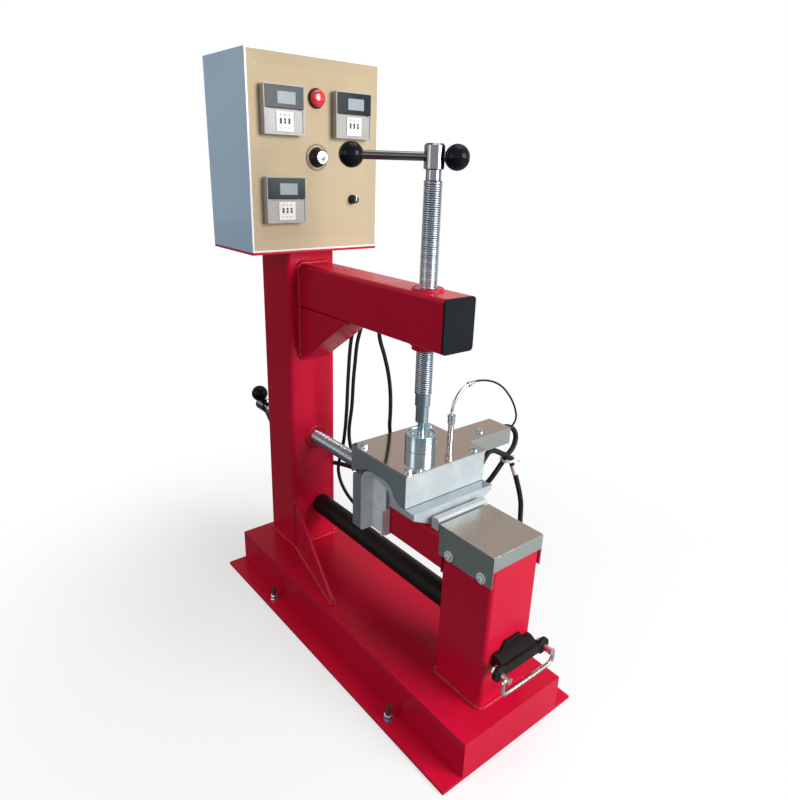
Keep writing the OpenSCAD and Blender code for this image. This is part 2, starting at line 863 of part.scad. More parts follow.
module lamp_bezel() {
    color("silver")
    translate([lamp_at[0], 0, lamp_at[1]])
        difference() {
            union() {
                rod_y(lamp_d, panel_y - 4, panel_y);
                rod_y(lamp_d - 5, panel_y - eps, panel_y + 30);
            }
            rod_y(lamp_d - 5, panel_y - 4 - eps, panel_y - 2);
        }
}

module lamp_lens() {
    color("red")
    translate([lamp_at[0], panel_y - 2, lamp_at[1]])
        rotate([90, 0, 0])
            rotate_extrude()
                polygon([[0, 0], [lamp_d / 2 - 2.5, 0], [lamp_d / 2 - 2.5, 8], [lamp_d / 2 - 5, 10], [0, 10.5]]);
}

module timer_dial() {
    color("gainsboro")
    translate([dial_at[0], 0, dial_at[1]])
        difference() {
            union() {
                rod_y(dial_d, panel_y - 1, panel_y);
                rod_y(7, panel_y - eps, panel_y + 25);
            }
            rod_y(6, panel_y - 1 - eps, panel_y + 20);
        }
}

module timer_knob() {
    shaft = 6 - 2 * run_gap;
    color("black")
    translate([dial_at[0], panel_y, dial_at[1]])
        rotate([90, 0, 0])
            rotate_extrude()
                polygon([
                    [0, -18], [shaft / 2, -18], [shaft / 2, 1.4], [timer_d / 2, 1.4], [timer_d / 2 - 0.5, 5],
                    [timer_d / 2 - 3.5, 6], [timer_d / 2 - 4.5, 16], [timer_d / 2 - 5.5, 17], [0, 17]
                ]);
}

module switch_knob() {
    shaft = 7 - 2 * run_gap;
    color("black")
    translate([switch_at[0], panel_y, switch_at[1]])
        rotate([90, 0, 0])
            rotate_extrude()
                polygon([
                    [0, -16], [shaft / 2, -16], [shaft / 2, 0.4], [switch_d / 2, 0.4], [switch_d / 2, 3],
                    [switch_d / 2 - 1.5, 4], [switch_d / 2 - 2, 13], [switch_d / 2 - 3, 14], [0, 14]
                ]);
}

module box_gland() {
    color("black")
    translate([box_x + box_w / 4, 0, box_z0 + 40])
        difference() {
            union() {
                rod_y(12, box_y1 - 8, box_y1 + eps);
                rod_y(20, box_y1, box_y1 + 8);
                rod_y(16, box_y1 + 8 - eps, box_y1 + 16);
            }
            rod_y(9, box_y1 - 8 - eps, box_y1 + 16 + eps);
        }
}

module press_screw() {
    color("silver")
    difference() {
        translate([press_x, axis_y, flange_z0])
            screw_body(flange_z1 - flange_z0, cup_top + 18 - flange_z0,
                thread_z0 - flange_z0, thread_z1 - flange_z0);
        translate([press_x, axis_y, bar_z])
            rotate([0, 0, bar_turn])
                rod_x(bar_d + 2 * run_gap, -head_d, head_d);
    }
}

module tbar_rod() {
    color("silver")
    translate([press_x, axis_y, bar_z])
        rotate([0, 0, bar_turn])
            rod_x(bar_d, ball_off - bar_len - ball_d / 5, ball_off + ball_d / 5);
}

module tbar_balls() {
    color("black")
    translate([press_x, axis_y, bar_z])
        rotate([0, 0, bar_turn]) {
            translate([ball_off, 0, 0])
                ball_knob();
            translate([ball_off - bar_len, 0, 0])
                rotate([0, 0, 180])
                    ball_knob();
        }
}

module thrust_cup() {
    color("lightsteelblue")
    translate([press_x, axis_y, plate_top])
        difference() {
            cylinder(d = cup_d, h = cup_h);
            translate([0, 0, cup_floor])
                cylinder(d = thrust_d + 2 * run_gap, h = cup_h);
            translate([0, 0, cup_h - cup_cap])
                cylinder(d = cup_d - 2 * cup_wall, h = cup_cap + eps);
        }
}

module thrust_cap() {
    color("lightsteelblue")
    translate([press_x, axis_y, cup_top - cup_cap])
        difference() {
            cylinder(d = cup_d - 2 * cup_wall - 2 * run_gap, h = cup_cap - cap_sunk);
            translate([0, 0, -eps])
                cylinder(d = stem_d + 2 * run_gap, h = cup_cap + 2 * eps);
        }
}

module upper_mould() {
    pocket_w = mould_w - 46;
    color("gainsboro")
    difference() {
        across(mould_w)
            difference() {
                translate([upper_y0, tray_z + seam_gap])
                    square([upper_len, upper_top - tray_z - seam_gap]);
                translate([0, seam_gap])
                    under_seam(beam_z0);
                translate([seam_y3, crest_z + seam_gap - upper_r])
                    circle(upper_r, $fn = 128);
                translate([seam_y4, beam_z0])
                    square([upper_y1 - seam_y4 + eps, side_h + 0.8]);
            }
        translate([press_x - pocket_w / 2, upper_y0 + 20, upper_top - 8])
            cube([pocket_w, upper_len - 40, 8 + eps]);
    }
}

module upper_heater() {
    pocket_w = mould_w - 46;
    gap = 0.3;
    color("goldenrod")
    translate([press_x - pocket_w / 2 + gap, upper_y0 + 20 + gap, upper_top - 8])
        cube([pocket_w - 2 * gap, upper_len - 40 - 2 * gap, 8]);
}

module cover_plate() {
    hood_x1 = plate_x1 + hood_len;
    color("silver")
    union() {
        translate([press_x - mould_w / 2, plate_y0, upper_top])
            cube([mould_w, plate_y1 - plate_y0, plate_t]);
        translate([plate_x1 - eps, hood_y0, upper_top])
            cube([hood_len + eps, hood_w, plate_t]);
        for (y = [hood_y0, hood_y0 + hood_w - sheet_t]) {
            translate([plate_x1 + 3, y, plate_top - hood_h])
                cube([hood_len - 3, sheet_t, hood_h]);
        }
    }
}

// Probe: tube with a nut, and a sheath that bends over to the right in one long curve
module temperature_probe() {
    tube_d = 10;
    tube_h = 28;
    nut_w = 13.5;
    nut_h = 15;
    lip = 1;
    sheath_d = 5;
    bend = 46;
    lean = 85;
    sheath_end = 8;
    rise = tube_h + nut_h + 2;
    color("silver")
    translate([press_x + probe_dx, axis_y - probe_dy, plate_top]) {
        rotate_extrude()
            polygon([
                [0, 0], [tube_d / 2, 0], [tube_d / 2, tube_h], [nut_w / 2 - lip / 2, tube_h + lip],
                [nut_w / 2 - lip / 2, tube_h + nut_h - 3 * lip], [nut_w / 2, tube_h + nut_h - 3 * lip],
                [nut_w / 2, tube_h + nut_h], [sheath_d / 2, tube_h + nut_h], [sheath_d / 2, rise], [0, rise]
            ]);
        translate([bend, 0, rise])
            rotate([90, 0, 0])
                rotate([0, 0, 180 - lean])
                    rotate_extrude(angle = lean)
                        translate([bend, 0])
                            circle(d = sheath_d);
        translate([bend - bend * cos(lean), 0, rise + bend * sin(lean)])
            rotate([0, lean, 0])
                cylinder(d = sheath_d, h = sheath_end);
    }
}

module lower_mould() {
    wing_z = tray_z - cast_t;
    color("gainsboro")
    difference() {
        union() {
            across(mould_w)
                difference() {
                    under_seam(beam_z0);
                    translate([mould_y0 - eps, beam_z0 - eps])
                        square([seam_y2 - sweep_r + cast_t - mould_y0 + 3 * eps, wing_z - beam_z0 + eps]);
                    hump_hollow_2d();
                }
            across(foot_w)
                translate([mould_y0, beam_top])
                    square([beam_y1 - mould_y0, tray_rise - eps]);
            translate([press_x, mould_y0 + 14, 0])
                rotate([90, 0, 0])
                    linear_extrude(14)
                        polygon([
                            [-foot_w / 2, beam_top], [foot_w / 2, beam_top],
                            [mould_w / 2, wing_z + eps], [-mould_w / 2, wing_z + eps]
                        ]);
            across(mould_w - 2 * hump_hollow)
                intersection() {
                    translate([beam_y1, beam_z0])
                        square([seam_y4 - beam_y1 - eps, crest_z - beam_z0 - eps]);
                    under_seam(beam_z0);
                }
        }
        heater_bores();
        translate([press_x + foot_w / 2, foot_hole[0], foot_hole[1]])
            rod_x(sleeve_d + 2 * cable_gap, -cast_t, eps);
    }
}

// Heater places in the lower mould: Y and Z of each bore, and its half length
tray_heater = [mould_y0 + 26, beam_top + 13, foot_w / 2];
hump_heater = [seam_y3, side_z + 20, mould_w / 2 - hump_hollow];

module heater_bores() {
    for (h = [tray_heater, hump_heater]) {
        translate([press_x, h[0], h[1]])
            rod_x(heater_d + 2 * heater_gap, -h[2] + 2.8, h[2] + eps);
    }
}

module lower_heaters() {
    color("dimgray")
    for (h = [tray_heater, hump_heater]) {
        translate([press_x, h[0], h[1]])
            rod_x(heater_d, -h[2] + 3, h[2] + 4);
    }
}

module clamp_bar() {
    ease = 3;
    y1 = mould_y0 - clamp_gap;
    color("silver")
    translate([press_x - clamp_len / 2, y1 - clamp_w, beam_top])
        rotate([90, 0, 90])
            linear_extrude(clamp_len)
                polygon([
                    [0, 0], [clamp_w, 0], [clamp_w, clamp_h - ease], [clamp_w - ease, clamp_h],
                    [ease, clamp_h], [0, clamp_h - ease]
                ]);
}

module side_mould() {
    cup_in = side_y1 - 4;
    color("gray")
    difference() {
        union() {
            translate([press_x - mould_w / 2, side_y0, side_z0])
                cube([mould_w, side_t, side_h]);
            translate([press_x, 0, side_z])
                rod_y(cup_d, side_y1 - eps, side_cap_y);
        }
        translate([press_x, 0, side_z])
            rod_y(thrust_d + 2 * run_gap, cup_in, side_cap_y + eps);
        side_bores();
    }
}

side_heater_z = [side_z0 + 14, side_z0 + side_h - 14];

module side_bores() {
    for (z = side_heater_z) {
        translate([press_x, side_y0 + side_t / 2, z])
            rod_x(heater_d + 2 * heater_gap, -mould_w / 2 + 2.8, mould_w);
    }
}

module side_heaters() {
    color("dimgray")
    for (z = side_heater_z) {
        translate([press_x, side_y0 + side_t / 2, z])
            rod_x(heater_d, -mould_w / 2 + 3, mould_w / 2 - 3);
    }
}

module side_thrust_ring() {
    color("lightsteelblue")
    translate([press_x, 0, side_z])
        difference() {
            rod_y(cup_d, side_cap_y, side_cap_y + ring_t);
            rod_y(stem_d + 2 * run_gap, side_cap_y - eps, side_cap_y + ring_t + eps);
        }
}

module side_screw() {
    y0 = side_y1 - 4 + end_gap;
    flange = side_cap_y - end_gap - y0;
    thread_lo = side_cap_y + ring_t + 40 - y0;
    thread_hi = side_head_y - head_h / 2 - neck_h - y0;
    color("silver")
    difference() {
        translate([press_x, y0, side_z])
            rotate([-90, 0, 0])
                screw_body(flange, side_cap_y + ring_t + 10 - y0, thread_lo, thread_hi);
        translate([press_x, side_head_y, side_z])
            rotate([0, -90 - side_turn, 0])
                rod_x(bar_d + 2 * run_gap, -head_d, head_d);
    }
}

module side_nut() {
    color("firebrick")
    translate([press_x, 0, side_z])
        difference() {
            rod_y(nut_d, column_y0 - 3, column_y0 + 24);
            rod_y(screw_d + 2 * run_gap, column_y0 - 3 - eps, column_y0 + 24 + eps);
        }
}

// The side T-bar hangs with its upper ball on the screw's head
module side_rod() {
    color("silver")
    translate([press_x, side_head_y, side_z])
        rotate([0, -90 - side_turn, 0])
            rod_x(bar_d, ball_off - bar_len - ball_d / 5, ball_off + ball_d / 5);
}

module side_balls() {
    color("black")
    translate([press_x, side_head_y, side_z])
        rotate([0, -90 - side_turn, 0]) {
            translate([ball_off, 0, 0])
                ball_knob();
            translate([ball_off - bar_len, 0, 0])
                rotate([0, 0, 180])
                    ball_knob();
        }
}

module handle_bracket() {
    block_w = post_dx - bar_h;
    block_top = 14;
    block_nose = 4;
    block_flat = 8;
    tab_w = 48;
    tab_top = 32;
    tab_h = 13;
    tab_t = 5;
    color("black")
    translate([press_x, 0, post_z])
        difference() {
            union() {
                translate([-block_w / 2, 0, 0])
                    rotate([90, 0, 90])
                        linear_extrude(block_w)
                            polygon([
                                [pedestal_y0, -bar_h / 2], [pedestal_y0, block_top],
                                [pedestal_y0 - block_flat, block_top],
                                [ear_y - ear_t, block_nose], [ear_y - ear_t, -bar_h / 2]
                            ]);
                for (sx = [-1, 1]) {
                    translate([sx * post_dx / 2, 0, 0])
                        rod_y(ear_d, ear_y - ear_t, ear_y);
                }
                translate([-post_dx / 2, ear_y - ear_t, -bar_h / 2])
                    cube([post_dx, ear_t, bar_h]);
                translate([0, pedestal_y0, block_top - 1])
                    rotate([90, 0, 0])
                        linear_extrude(tab_t)
                            polygon([
                                [-tab_w / 2, 0], [tab_w / 2, 0], [tab_top / 2, tab_h], [-tab_top / 2, tab_h]
                            ]);
            }
            for (sx = [-1, 1]) {
                translate([sx * post_dx / 2, 0, 0])
                    rod_y(post_d - 2, ear_y - ear_t - eps, ear_y + eps);
            }
        }
}

module handle_posts() {
    stem = post_d - 2;
    front = ear_y - ear_t;
    color("silver")
    for (sx = [-1, 1]) {
        translate([press_x + sx * post_dx / 2, 0, post_z])
            difference() {
                union() {
                    rod_y(stem, front - eps, ear_y + post_nut_h + 2);
                    rod_y(post_d, post_y - post_d / 2, front);
                    translate([0, ear_y, 0])
                        rotate([-90, 0, 0])
                            cylinder(d = post_nut_d, h = post_nut_h, $fn = 6);
                }
                translate([0, post_y, 0])
                    rod_x(bail_d + 2 * run_gap, -post_d, post_d);
            }
    }
}

module bail() {
    drop = bail_drop - bail_r;
    color("silver")
    translate([press_x, post_y, post_z])
        union() {
            for (sx = [-1, 1]) {
                rod_x(bail_d, sx > 0 ? post_dx / 2 - post_d / 2 - 1 : -leg_x,
                    sx > 0 ? leg_x : -post_dx / 2 + post_d / 2 + 1);
                translate([sx * leg_x, 0, 0])
                    sphere(d = bail_d);
                translate([sx * leg_x, 0, -drop])
                    cylinder(d = bail_d, h = drop);
                translate([sx * (leg_x - bail_r), 0, -drop])
                    rotate([90, 0, 0])
                        rotate([0, 0, sx > 0 ? -90 : 180])
                            rotate_extrude(angle = 90)
                                translate([bail_r, 0])
                                    circle(d = bail_d);
            }
            translate([0, 0, -bail_drop])
                rod_x(bail_d, -leg_x + bail_r, leg_x - bail_r);
        }
}

// Bush with its flange at 0 and its nose in the wall behind, drawn along +Z
module bush(wall, bore = cable_d) {
    flange = bush_d + 5;
    difference() {
        union() {
            translate([0, 0, -wall])
                cylinder(d = bush_d, h = wall + eps);
            cylinder(d = flange, h = bush_past);
        }
        translate([0, 0, -wall - eps])
            cylinder(d = bore + 2 * cable_gap, h = wall + bush_past + 2 * eps);
    }
}

// Bushes where the cables leave the arm, the column and the pedestal
module cable_bushes() {
    color("black") {
        for (y = side_bush_y) {
            translate([arm_side, y, side_bush_z])
                rotate([0, 90, 0])
                    bush(arm_t);
        }
        translate([hump_bush[0], hump_bush[1], arm_z])
            rotate([180, 0, 0])
                bush(arm_t);
        translate([column_side, column_bush[0], column_bush[1]])
            rotate([0, 90, 0])
                bush(tube_t, sleeve_d);
        translate([pedestal_side, pedestal_bush[0], pedestal_bush[1]])
            rotate([0, 90, 0])
                bush(tube_t, sleeve_d);
    }
}

module side_cables() {
    color("black") {
        cable(side_route_a, cable_d, [0.9, 0.1, 0.4], 10);
        cable(side_route_b, cable_d, [0.9, 0.1, 0.4], 10);
    }
}

module hump_cable() {
    color("black")
    cable(hump_route, cable_d, [0.3, 0.9, -0.2], 10);
}

module lower_cable() {
    color("black")
    cable(lower_route, sleeve_d, [0.2, 0.95, 0.1], 10);
}

module upper_cable() {
    color("black")
    cable(upper_route, sleeve_d, [0.5, 0.3, 0.9], 10);
}

module probe_lead() {
    color("black")
    cable(lead_route, lead_d, [0.1, 0.95, 0.1], 8);
}

// Tie round the upper and lower cables
module cable_tie() {
    color("white")
    translate(tie_at)
        difference() {
            cylinder(d = 2.8 * sleeve_d, h = 5, center = true);
            cylinder(d = 2.54 * sleeve_d, h = 6, center = true);
        }
}

base();
column();
column_gusset();
arm();
arm_gusset();
arm_end_cap();
press_nut();
top_plate();
pedestal();
beam();
pedestal_cover();
tie_tube();
control_box();
control_panel();
controller_cases();
controller_windows();
lamp_bezel();
lamp_lens();
timer_dial();
timer_knob();
switch_knob();
box_gland();
digit_wheel(1);  // digit_wheel_1
digit_wheel(2);  // digit_wheel_2
digit_wheel(3);  // digit_wheel_3
digit_wheel(4);  // digit_wheel_4
digit_wheel(5);  // digit_wheel_5
digit_wheel(6);  // digit_wheel_6
digit_wheel(7);  // digit_wheel_7
digit_wheel(8);  // digit_wheel_8
digit_wheel(9);  // digit_wheel_9
press_screw();
tbar_rod();
tbar_balls();
thrust_cup();
thrust_cap();
upper_mould();
upper_heater();
cover_plate();
temperature_probe();
lower_mould();
lower_heaters();
clamp_bar();
side_mould();
side_heaters();
side_thrust_ring();
side_screw();
side_nut();
side_rod();
side_balls();
handle_bracket();
handle_posts();
bail();
cable_bushes();
side_cables();
hump_cable();
lower_cable();
upper_cable();
probe_lead();
cable_tie();
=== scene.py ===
# %% [markdown]
# Spot vulcanizer for tyre repair.
# The machine is a red welded frame with a screw press that closes heated aluminium moulds on a tyre, a second
# screw for the side mould, and a control box on the column. The solid model comes in as a fixed frame, in metres.
# Everything below dresses that frame: softened edges, welds, threads, bolts, cables and paint.

# %% Load the frame
import bpy
import bmesh
import json
import math
from mathutils import Matrix, Vector


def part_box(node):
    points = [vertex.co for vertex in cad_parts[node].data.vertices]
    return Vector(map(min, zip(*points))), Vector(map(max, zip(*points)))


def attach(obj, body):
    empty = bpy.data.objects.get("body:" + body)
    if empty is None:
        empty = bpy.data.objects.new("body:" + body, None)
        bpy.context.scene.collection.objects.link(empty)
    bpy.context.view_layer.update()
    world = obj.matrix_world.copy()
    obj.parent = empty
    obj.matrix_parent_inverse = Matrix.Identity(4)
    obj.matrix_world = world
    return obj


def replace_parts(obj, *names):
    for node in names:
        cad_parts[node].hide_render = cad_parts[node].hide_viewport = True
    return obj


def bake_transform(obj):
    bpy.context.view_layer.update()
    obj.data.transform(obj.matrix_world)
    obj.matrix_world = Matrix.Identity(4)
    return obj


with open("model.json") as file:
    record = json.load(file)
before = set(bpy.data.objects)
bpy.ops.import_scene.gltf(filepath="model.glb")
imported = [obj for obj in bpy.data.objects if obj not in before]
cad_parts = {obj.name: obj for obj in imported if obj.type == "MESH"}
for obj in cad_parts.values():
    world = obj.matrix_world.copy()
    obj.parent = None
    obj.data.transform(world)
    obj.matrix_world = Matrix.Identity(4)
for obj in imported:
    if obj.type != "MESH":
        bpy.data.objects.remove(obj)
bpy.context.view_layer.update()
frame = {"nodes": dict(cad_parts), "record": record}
nodes = frame["nodes"]
body_of_node = {n: b for b, names in frame["record"]["behaviour"]["bodies"].items() for n in names}
MM = 0.001
PRESS_X, PRESS_Y = 10, -80

# %% [markdown]
# Camera.
# The photograph was taken from the front left, a little above the arm, with a wide phone lens. The numbers are a
# position, the angles of the view and a focal length in pixels of an image 788 wide and 800 high. Blender measures
# the lens on the longer side, so the focal length becomes 36 mm times pixels over 800.

# %% Camera
IMAGE_W, IMAGE_H = 788, 800
FOCAL_PX, SENSOR = 629.5, 36
CAMERA_AT = Vector((-0.6109, -0.7658, 0.8198))
YAW, PITCH, ROLL = math.radians(39.38), math.radians(20.25), math.radians(-1.79)

def linked(name, data):
    obj = bpy.data.objects.new(name, data)
    bpy.context.scene.collection.objects.link(obj)
    return obj

def camera_axes(yaw, pitch, roll):
    ahead = Vector((math.sin(yaw) * math.cos(pitch), math.cos(yaw) * math.cos(pitch), -math.sin(pitch)))
    right = Vector((math.cos(yaw), -math.sin(yaw), 0))
    down = ahead.cross(right)
    rolled_right = math.cos(roll) * right + math.sin(roll) * down
    rolled_down = -math.sin(roll) * right + math.cos(roll) * down
    return rolled_right, -rolled_down, -ahead

cam_data = bpy.data.cameras.new("camera")
cam_data.sensor_fit = "AUTO"
cam_data.sensor_width = SENSOR
cam_data.lens = SENSOR * FOCAL_PX / max(IMAGE_W, IMAGE_H)
cam_data.clip_start = 0.05
cam = linked("camera", cam_data)
x_axis, y_axis, z_axis = camera_axes(YAW, PITCH, ROLL)
turn = Matrix((x_axis, y_axis, z_axis)).transposed().to_4x4()
cam.matrix_world = Matrix.Translation(CAMERA_AT) @ turn
bpy.context.scene.camera = cam
bpy.context.scene.view_settings.view_transform = "Standard"
print("lens", round(cam_data.lens, 2), "mm")

# %% [markdown]
# Shared shader groups.
# Paint, castings and sheet metal all vary over their surface. A node group makes one such effect with named inputs,
# and each material places it with its own values. All of them read Object coordinates, so the pattern stays fixed on
# the piece and is the same from any side.

# %% Node helpers
# A socket's kind follows from its value, and one without a value is called after its kind
KINDS = {float: "Float", int: "Int", tuple: "Color", Vector: "Vector"}

def node_group(name, kind, inputs, outputs):
    tree = bpy.data.node_groups.new(name, kind)
    for label, value in inputs.items():
        word = KINDS.get(type(value), label)
        socket = tree.interface.new_socket(label, in_out="INPUT", socket_type="NodeSocket" + word)
        if value is not None:
            socket.default_value = value
    for label, word in outputs.items():
        tree.interface.new_socket(label, in_out="OUTPUT", socket_type="NodeSocket" + word)
    return tree, tree.nodes.new("NodeGroupInput").outputs, tree.nodes.new("NodeGroupOutput").inputs

def add(tree, kind, links=None, **props):
    node = tree.nodes.new(kind)
    for key, value in props.items():
        setattr(node, key, value)
    for socket, source in (links or {}).items():
        target = node.inputs[socket]
        if isinstance(source, bpy.types.NodeSocket):
            tree.links.new(source, target)
        else:
            target.default_value = source
    return node

def calc(tree, operation, a, b=0.0):
    return add(tree, "ShaderNodeMath", {0: a, 1: b}, operation=operation).outputs[0]

def noise(tree, vector, scale, detail, roughness=0.5):
    links = {"Vector": vector, "Scale": scale, "Detail": detail, "Roughness": roughness}
    return add(tree, "ShaderNodeTexNoise", links).outputs["Fac"]

def ranged(tree, value, low, high, to_low=0.0, to_high=1.0, **props):
    links = {"Value": value, "From Min": low, "From Max": high, "To Min": to_low, "To Max": to_high}
    return add(tree, "ShaderNodeMapRange", links, **props).outputs[0]

def mixed(tree, factor, a, b):
    return add(tree, "ShaderNodeMix", {"Factor": factor, "A": a, "B": b}, data_type="RGBA").outputs["Result"]

def on_object(tree):
    return add(tree, "ShaderNodeTexCoord").outputs["Object"]

# %% Cloudy colour: two tones mixed by soft noise, with a finer speckle
SPECKLE_FINER = 18.0
cloud, gin, gout = node_group(
    "cloudy_colour", "ShaderNodeTree",
    {"Tone": (0.5, 0.5, 0.5, 1), "Other tone": (0.4, 0.4, 0.4, 1), "Scale": 8.0, "Speckle": 0.2, "Roughness": 0.4,
     "Roughness spread": 0.1},
    {"Color": "Color", "Roughness": "Float"})
spot = on_object(cloud)
clouds = noise(cloud, spot, gin["Scale"], 4.0, 0.55)
specks = noise(cloud, spot, calc(cloud, "MULTIPLY", gin["Scale"], SPECKLE_FINER), 2.0)
both = calc(cloud, "ADD", clouds, calc(cloud, "MULTIPLY", specks, gin["Speckle"]))
steps = ranged(cloud, both, 0.35, 0.85)
rough = calc(cloud, "ADD", calc(cloud, "MULTIPLY", steps, gin["Roughness spread"]), gin["Roughness"])
cloud.links.new(mixed(cloud, steps, gin["Tone"], gin["Other tone"]), gout["Color"])
cloud.links.new(rough, gout["Roughness"])

# %% Surface grain: a height for the Bump node, coarse waves plus fine grit
grain, gin, gout = node_group(
    "surface_grain", "ShaderNodeTree", {"Coarse scale": 20.0, "Fine scale": 300.0, "Fine share": 0.3},
    {"Height": "Float"})
spot = on_object(grain)
waves = noise(grain, spot, gin["Coarse scale"], 3.0)
grit = noise(grain, spot, gin["Fine scale"], 2.0)
total = calc(grain, "ADD", waves, calc(grain, "MULTIPLY", grit, gin["Fine share"]))
grain.links.new(total, gout["Height"])

# %% Drawn lines: fine streaks along one axis, as on rolled or turned metal
STREAK_INPUTS = {"Stretch X": 1.0, "Stretch Y": 1.0, "Stretch Z": 1.0, "Low": 0.2, "High": 0.4}
drawn, gin, gout = node_group("drawn_lines", "ShaderNodeTree", STREAK_INPUTS,
    {"Roughness": "Float", "Height": "Float"})
stretch = add(drawn, "ShaderNodeCombineXYZ", {axis: gin["Stretch " + axis] for axis in "XYZ"}).outputs[0]
pulled = add(drawn, "ShaderNodeVectorMath", {0: on_object(drawn), 1: stretch}, operation="MULTIPLY").outputs[0]
lines = noise(drawn, pulled, 1.0, 5.0, 0.7)
drawn.links.new(ranged(drawn, lines, 0.3, 0.7, gin["Low"], gin["High"]), gout["Roughness"])
drawn.links.new(lines, gout["Height"])
print("shader groups:", [g.name for g in (cloud, grain, drawn)])

# %% [markdown]
# Finishes.
# One function places the groups round a Principled shader. Values that are the same all over a surface, such as the
# metal switch or a clear coat, are set on the shader's own sockets.

# %% Finish builder
IOR = 1.5

def finish(name, tone, other, scale=8.0, speckle=0.2, rough=0.4, spread=0.1, metal=0.0, coat=0.0, coat_rough=0.05,
           bump=0.0, coarse=20.0, fine=300.0, fine_share=0.3, lines=None, emission=0.0, specular=0.5):
    mat = bpy.data.materials.new(name)
    mat.use_nodes = True
    tree = mat.node_tree
    shader = tree.nodes["Principled BSDF"].inputs
    values = {"Tone": (*tone, 1), "Other tone": (*other, 1), "Scale": scale, "Speckle": speckle, "Roughness": rough,
              "Roughness spread": spread}
    colour = add(tree, "ShaderNodeGroup", values, node_tree=cloud).outputs
    tree.links.new(colour["Color"], shader["Base Color"])
    tree.links.new(colour["Roughness"], shader["Roughness"])
    for key, value in {"Metallic": metal, "Coat Weight": coat, "Coat Roughness": coat_rough, "IOR": IOR,
            "Specular IOR Level": specular, "Emission Strength": emission}.items():
        shader[key].default_value = value
    if lines:
        streak = add(tree, "ShaderNodeGroup", dict(zip(STREAK_INPUTS, lines)), node_tree=drawn).outputs
        tree.links.new(streak["Roughness"], shader["Roughness"])
        height = streak["Height"]
    elif bump:
        values = {"Coarse scale": coarse, "Fine scale": fine, "Fine share": fine_share}
        height = add(tree, "ShaderNodeGroup", values, node_tree=grain).outputs["Height"]
    if bump:
        relief = add(tree, "ShaderNodeBump", {"Height": height, "Strength": 1.0, "Distance": bump})
        tree.links.new(relief.outputs["Normal"], shader["Normal"])
    if emission:
        tree.links.new(colour["Color"], shader["Emission Color"])
    return mat

# %% Paint and plastic finishes
red = finish("red_gloss_paint", (0.66, 0.007, 0.042), (0.57, 0.005, 0.032), scale=6, speckle=0.15, rough=0.24,
    spread=0.08, coat=0.06, coat_rough=0.08, bump=0.00012, coarse=45, fine=420, fine_share=0.25, specular=0.15)
weld_red = finish("red_paint_on_weld", (0.62, 0.012, 0.04), (0.46, 0.005, 0.024), scale=30, rough=0.22, spread=0.06,
    coat=0.12, coat_rough=0.08, bump=0.0002, coarse=160, fine=600, specular=0.16)
black_satin = finish("black_satin_paint", (0.006, 0.005, 0.005), (0.011, 0.01, 0.009), scale=14, rough=0.42,
    spread=0.15, bump=0.0001, coarse=60, fine=500, specular=0.18)
black_moulded = finish("black_moulded_plastic", (0.007, 0.007, 0.008), (0.012, 0.012, 0.012), scale=20, rough=0.34,
    bump=0.00008, coarse=90, fine=900, specular=0.25)
cap_black = finish("black_cap_plastic", (0.005, 0.007, 0.01), (0.009, 0.011, 0.014), scale=16, rough=0.38,
    bump=0.00008, coarse=90, fine=900, specular=0.12)
black_ball = finish("black_ball_plastic", (0.006, 0.007, 0.01), (0.009, 0.01, 0.014), scale=12, rough=0.14,
    spread=0.06, coat=0.03, specular=0.09)
box_grey = finish("box_blue_grey_paint", (0.53, 0.73, 0.92), (0.49, 0.68, 0.86), scale=5, rough=0.42, spread=0.08,
    coat=0.15, bump=0.00005, coarse=80, fine=900)
rim_white = finish("box_white_edge", (0.86, 0.87, 0.87), (0.8, 0.81, 0.82), scale=10, rough=0.35)
panel_beige = finish("panel_beige_paint", (0.57, 0.465, 0.31), (0.49, 0.385, 0.245), scale=3.5, speckle=0.1,
    rough=0.5, bump=0.00004, coarse=70, fine=800, specular=0.1)
case_grey = finish("controller_grey_plastic", (0.4, 0.385, 0.36), (0.34, 0.33, 0.31), scale=25, rough=0.3,
    bump=0.00004, coarse=120, fine=1200)
window_slate = finish("controller_window", (0.01, 0.014, 0.019), (0.018, 0.026, 0.034), scale=18, rough=0.14,
    spread=0.06, specular=0.16)
lcd_grey = finish("controller_display", (0.34, 0.4, 0.42), (0.28, 0.34, 0.36), scale=40, rough=0.3, spread=0.08,
    specular=0.2)
block_white = finish("pushwheel_white_plastic", (0.8, 0.8, 0.77), (0.72, 0.72, 0.69), scale=60, rough=0.38)
ink = finish("dark_print", (0.02, 0.02, 0.022), (0.035, 0.035, 0.035), scale=90, rough=0.5)
tick_red = finish("red_print", (0.55, 0.05, 0.03), (0.48, 0.04, 0.03), scale=90, rough=0.45)
lamp_red = finish("lamp_red_lens", (0.62, 0.01, 0.025), (0.72, 0.03, 0.05), scale=60, rough=0.08, spread=0.05,
    coat=0.6, coat_rough=0.03, emission=0.1)
tie_white = finish("white_nylon", (0.78, 0.79, 0.78), (0.68, 0.7, 0.7), scale=60)
rubber = finish("cable_rubber", (0.007, 0.007, 0.007), (0.012, 0.012, 0.012), scale=30, rough=0.42, spread=0.15,
    bump=0.00008, coarse=160, fine=900, specular=0.25)
sleeve = finish("cable_sleeve", (0.008, 0.008, 0.008), (0.015, 0.015, 0.015), scale=40, rough=0.55, spread=0.15,
    bump=0.0002, coarse=260, fine=1400, specular=0.25)

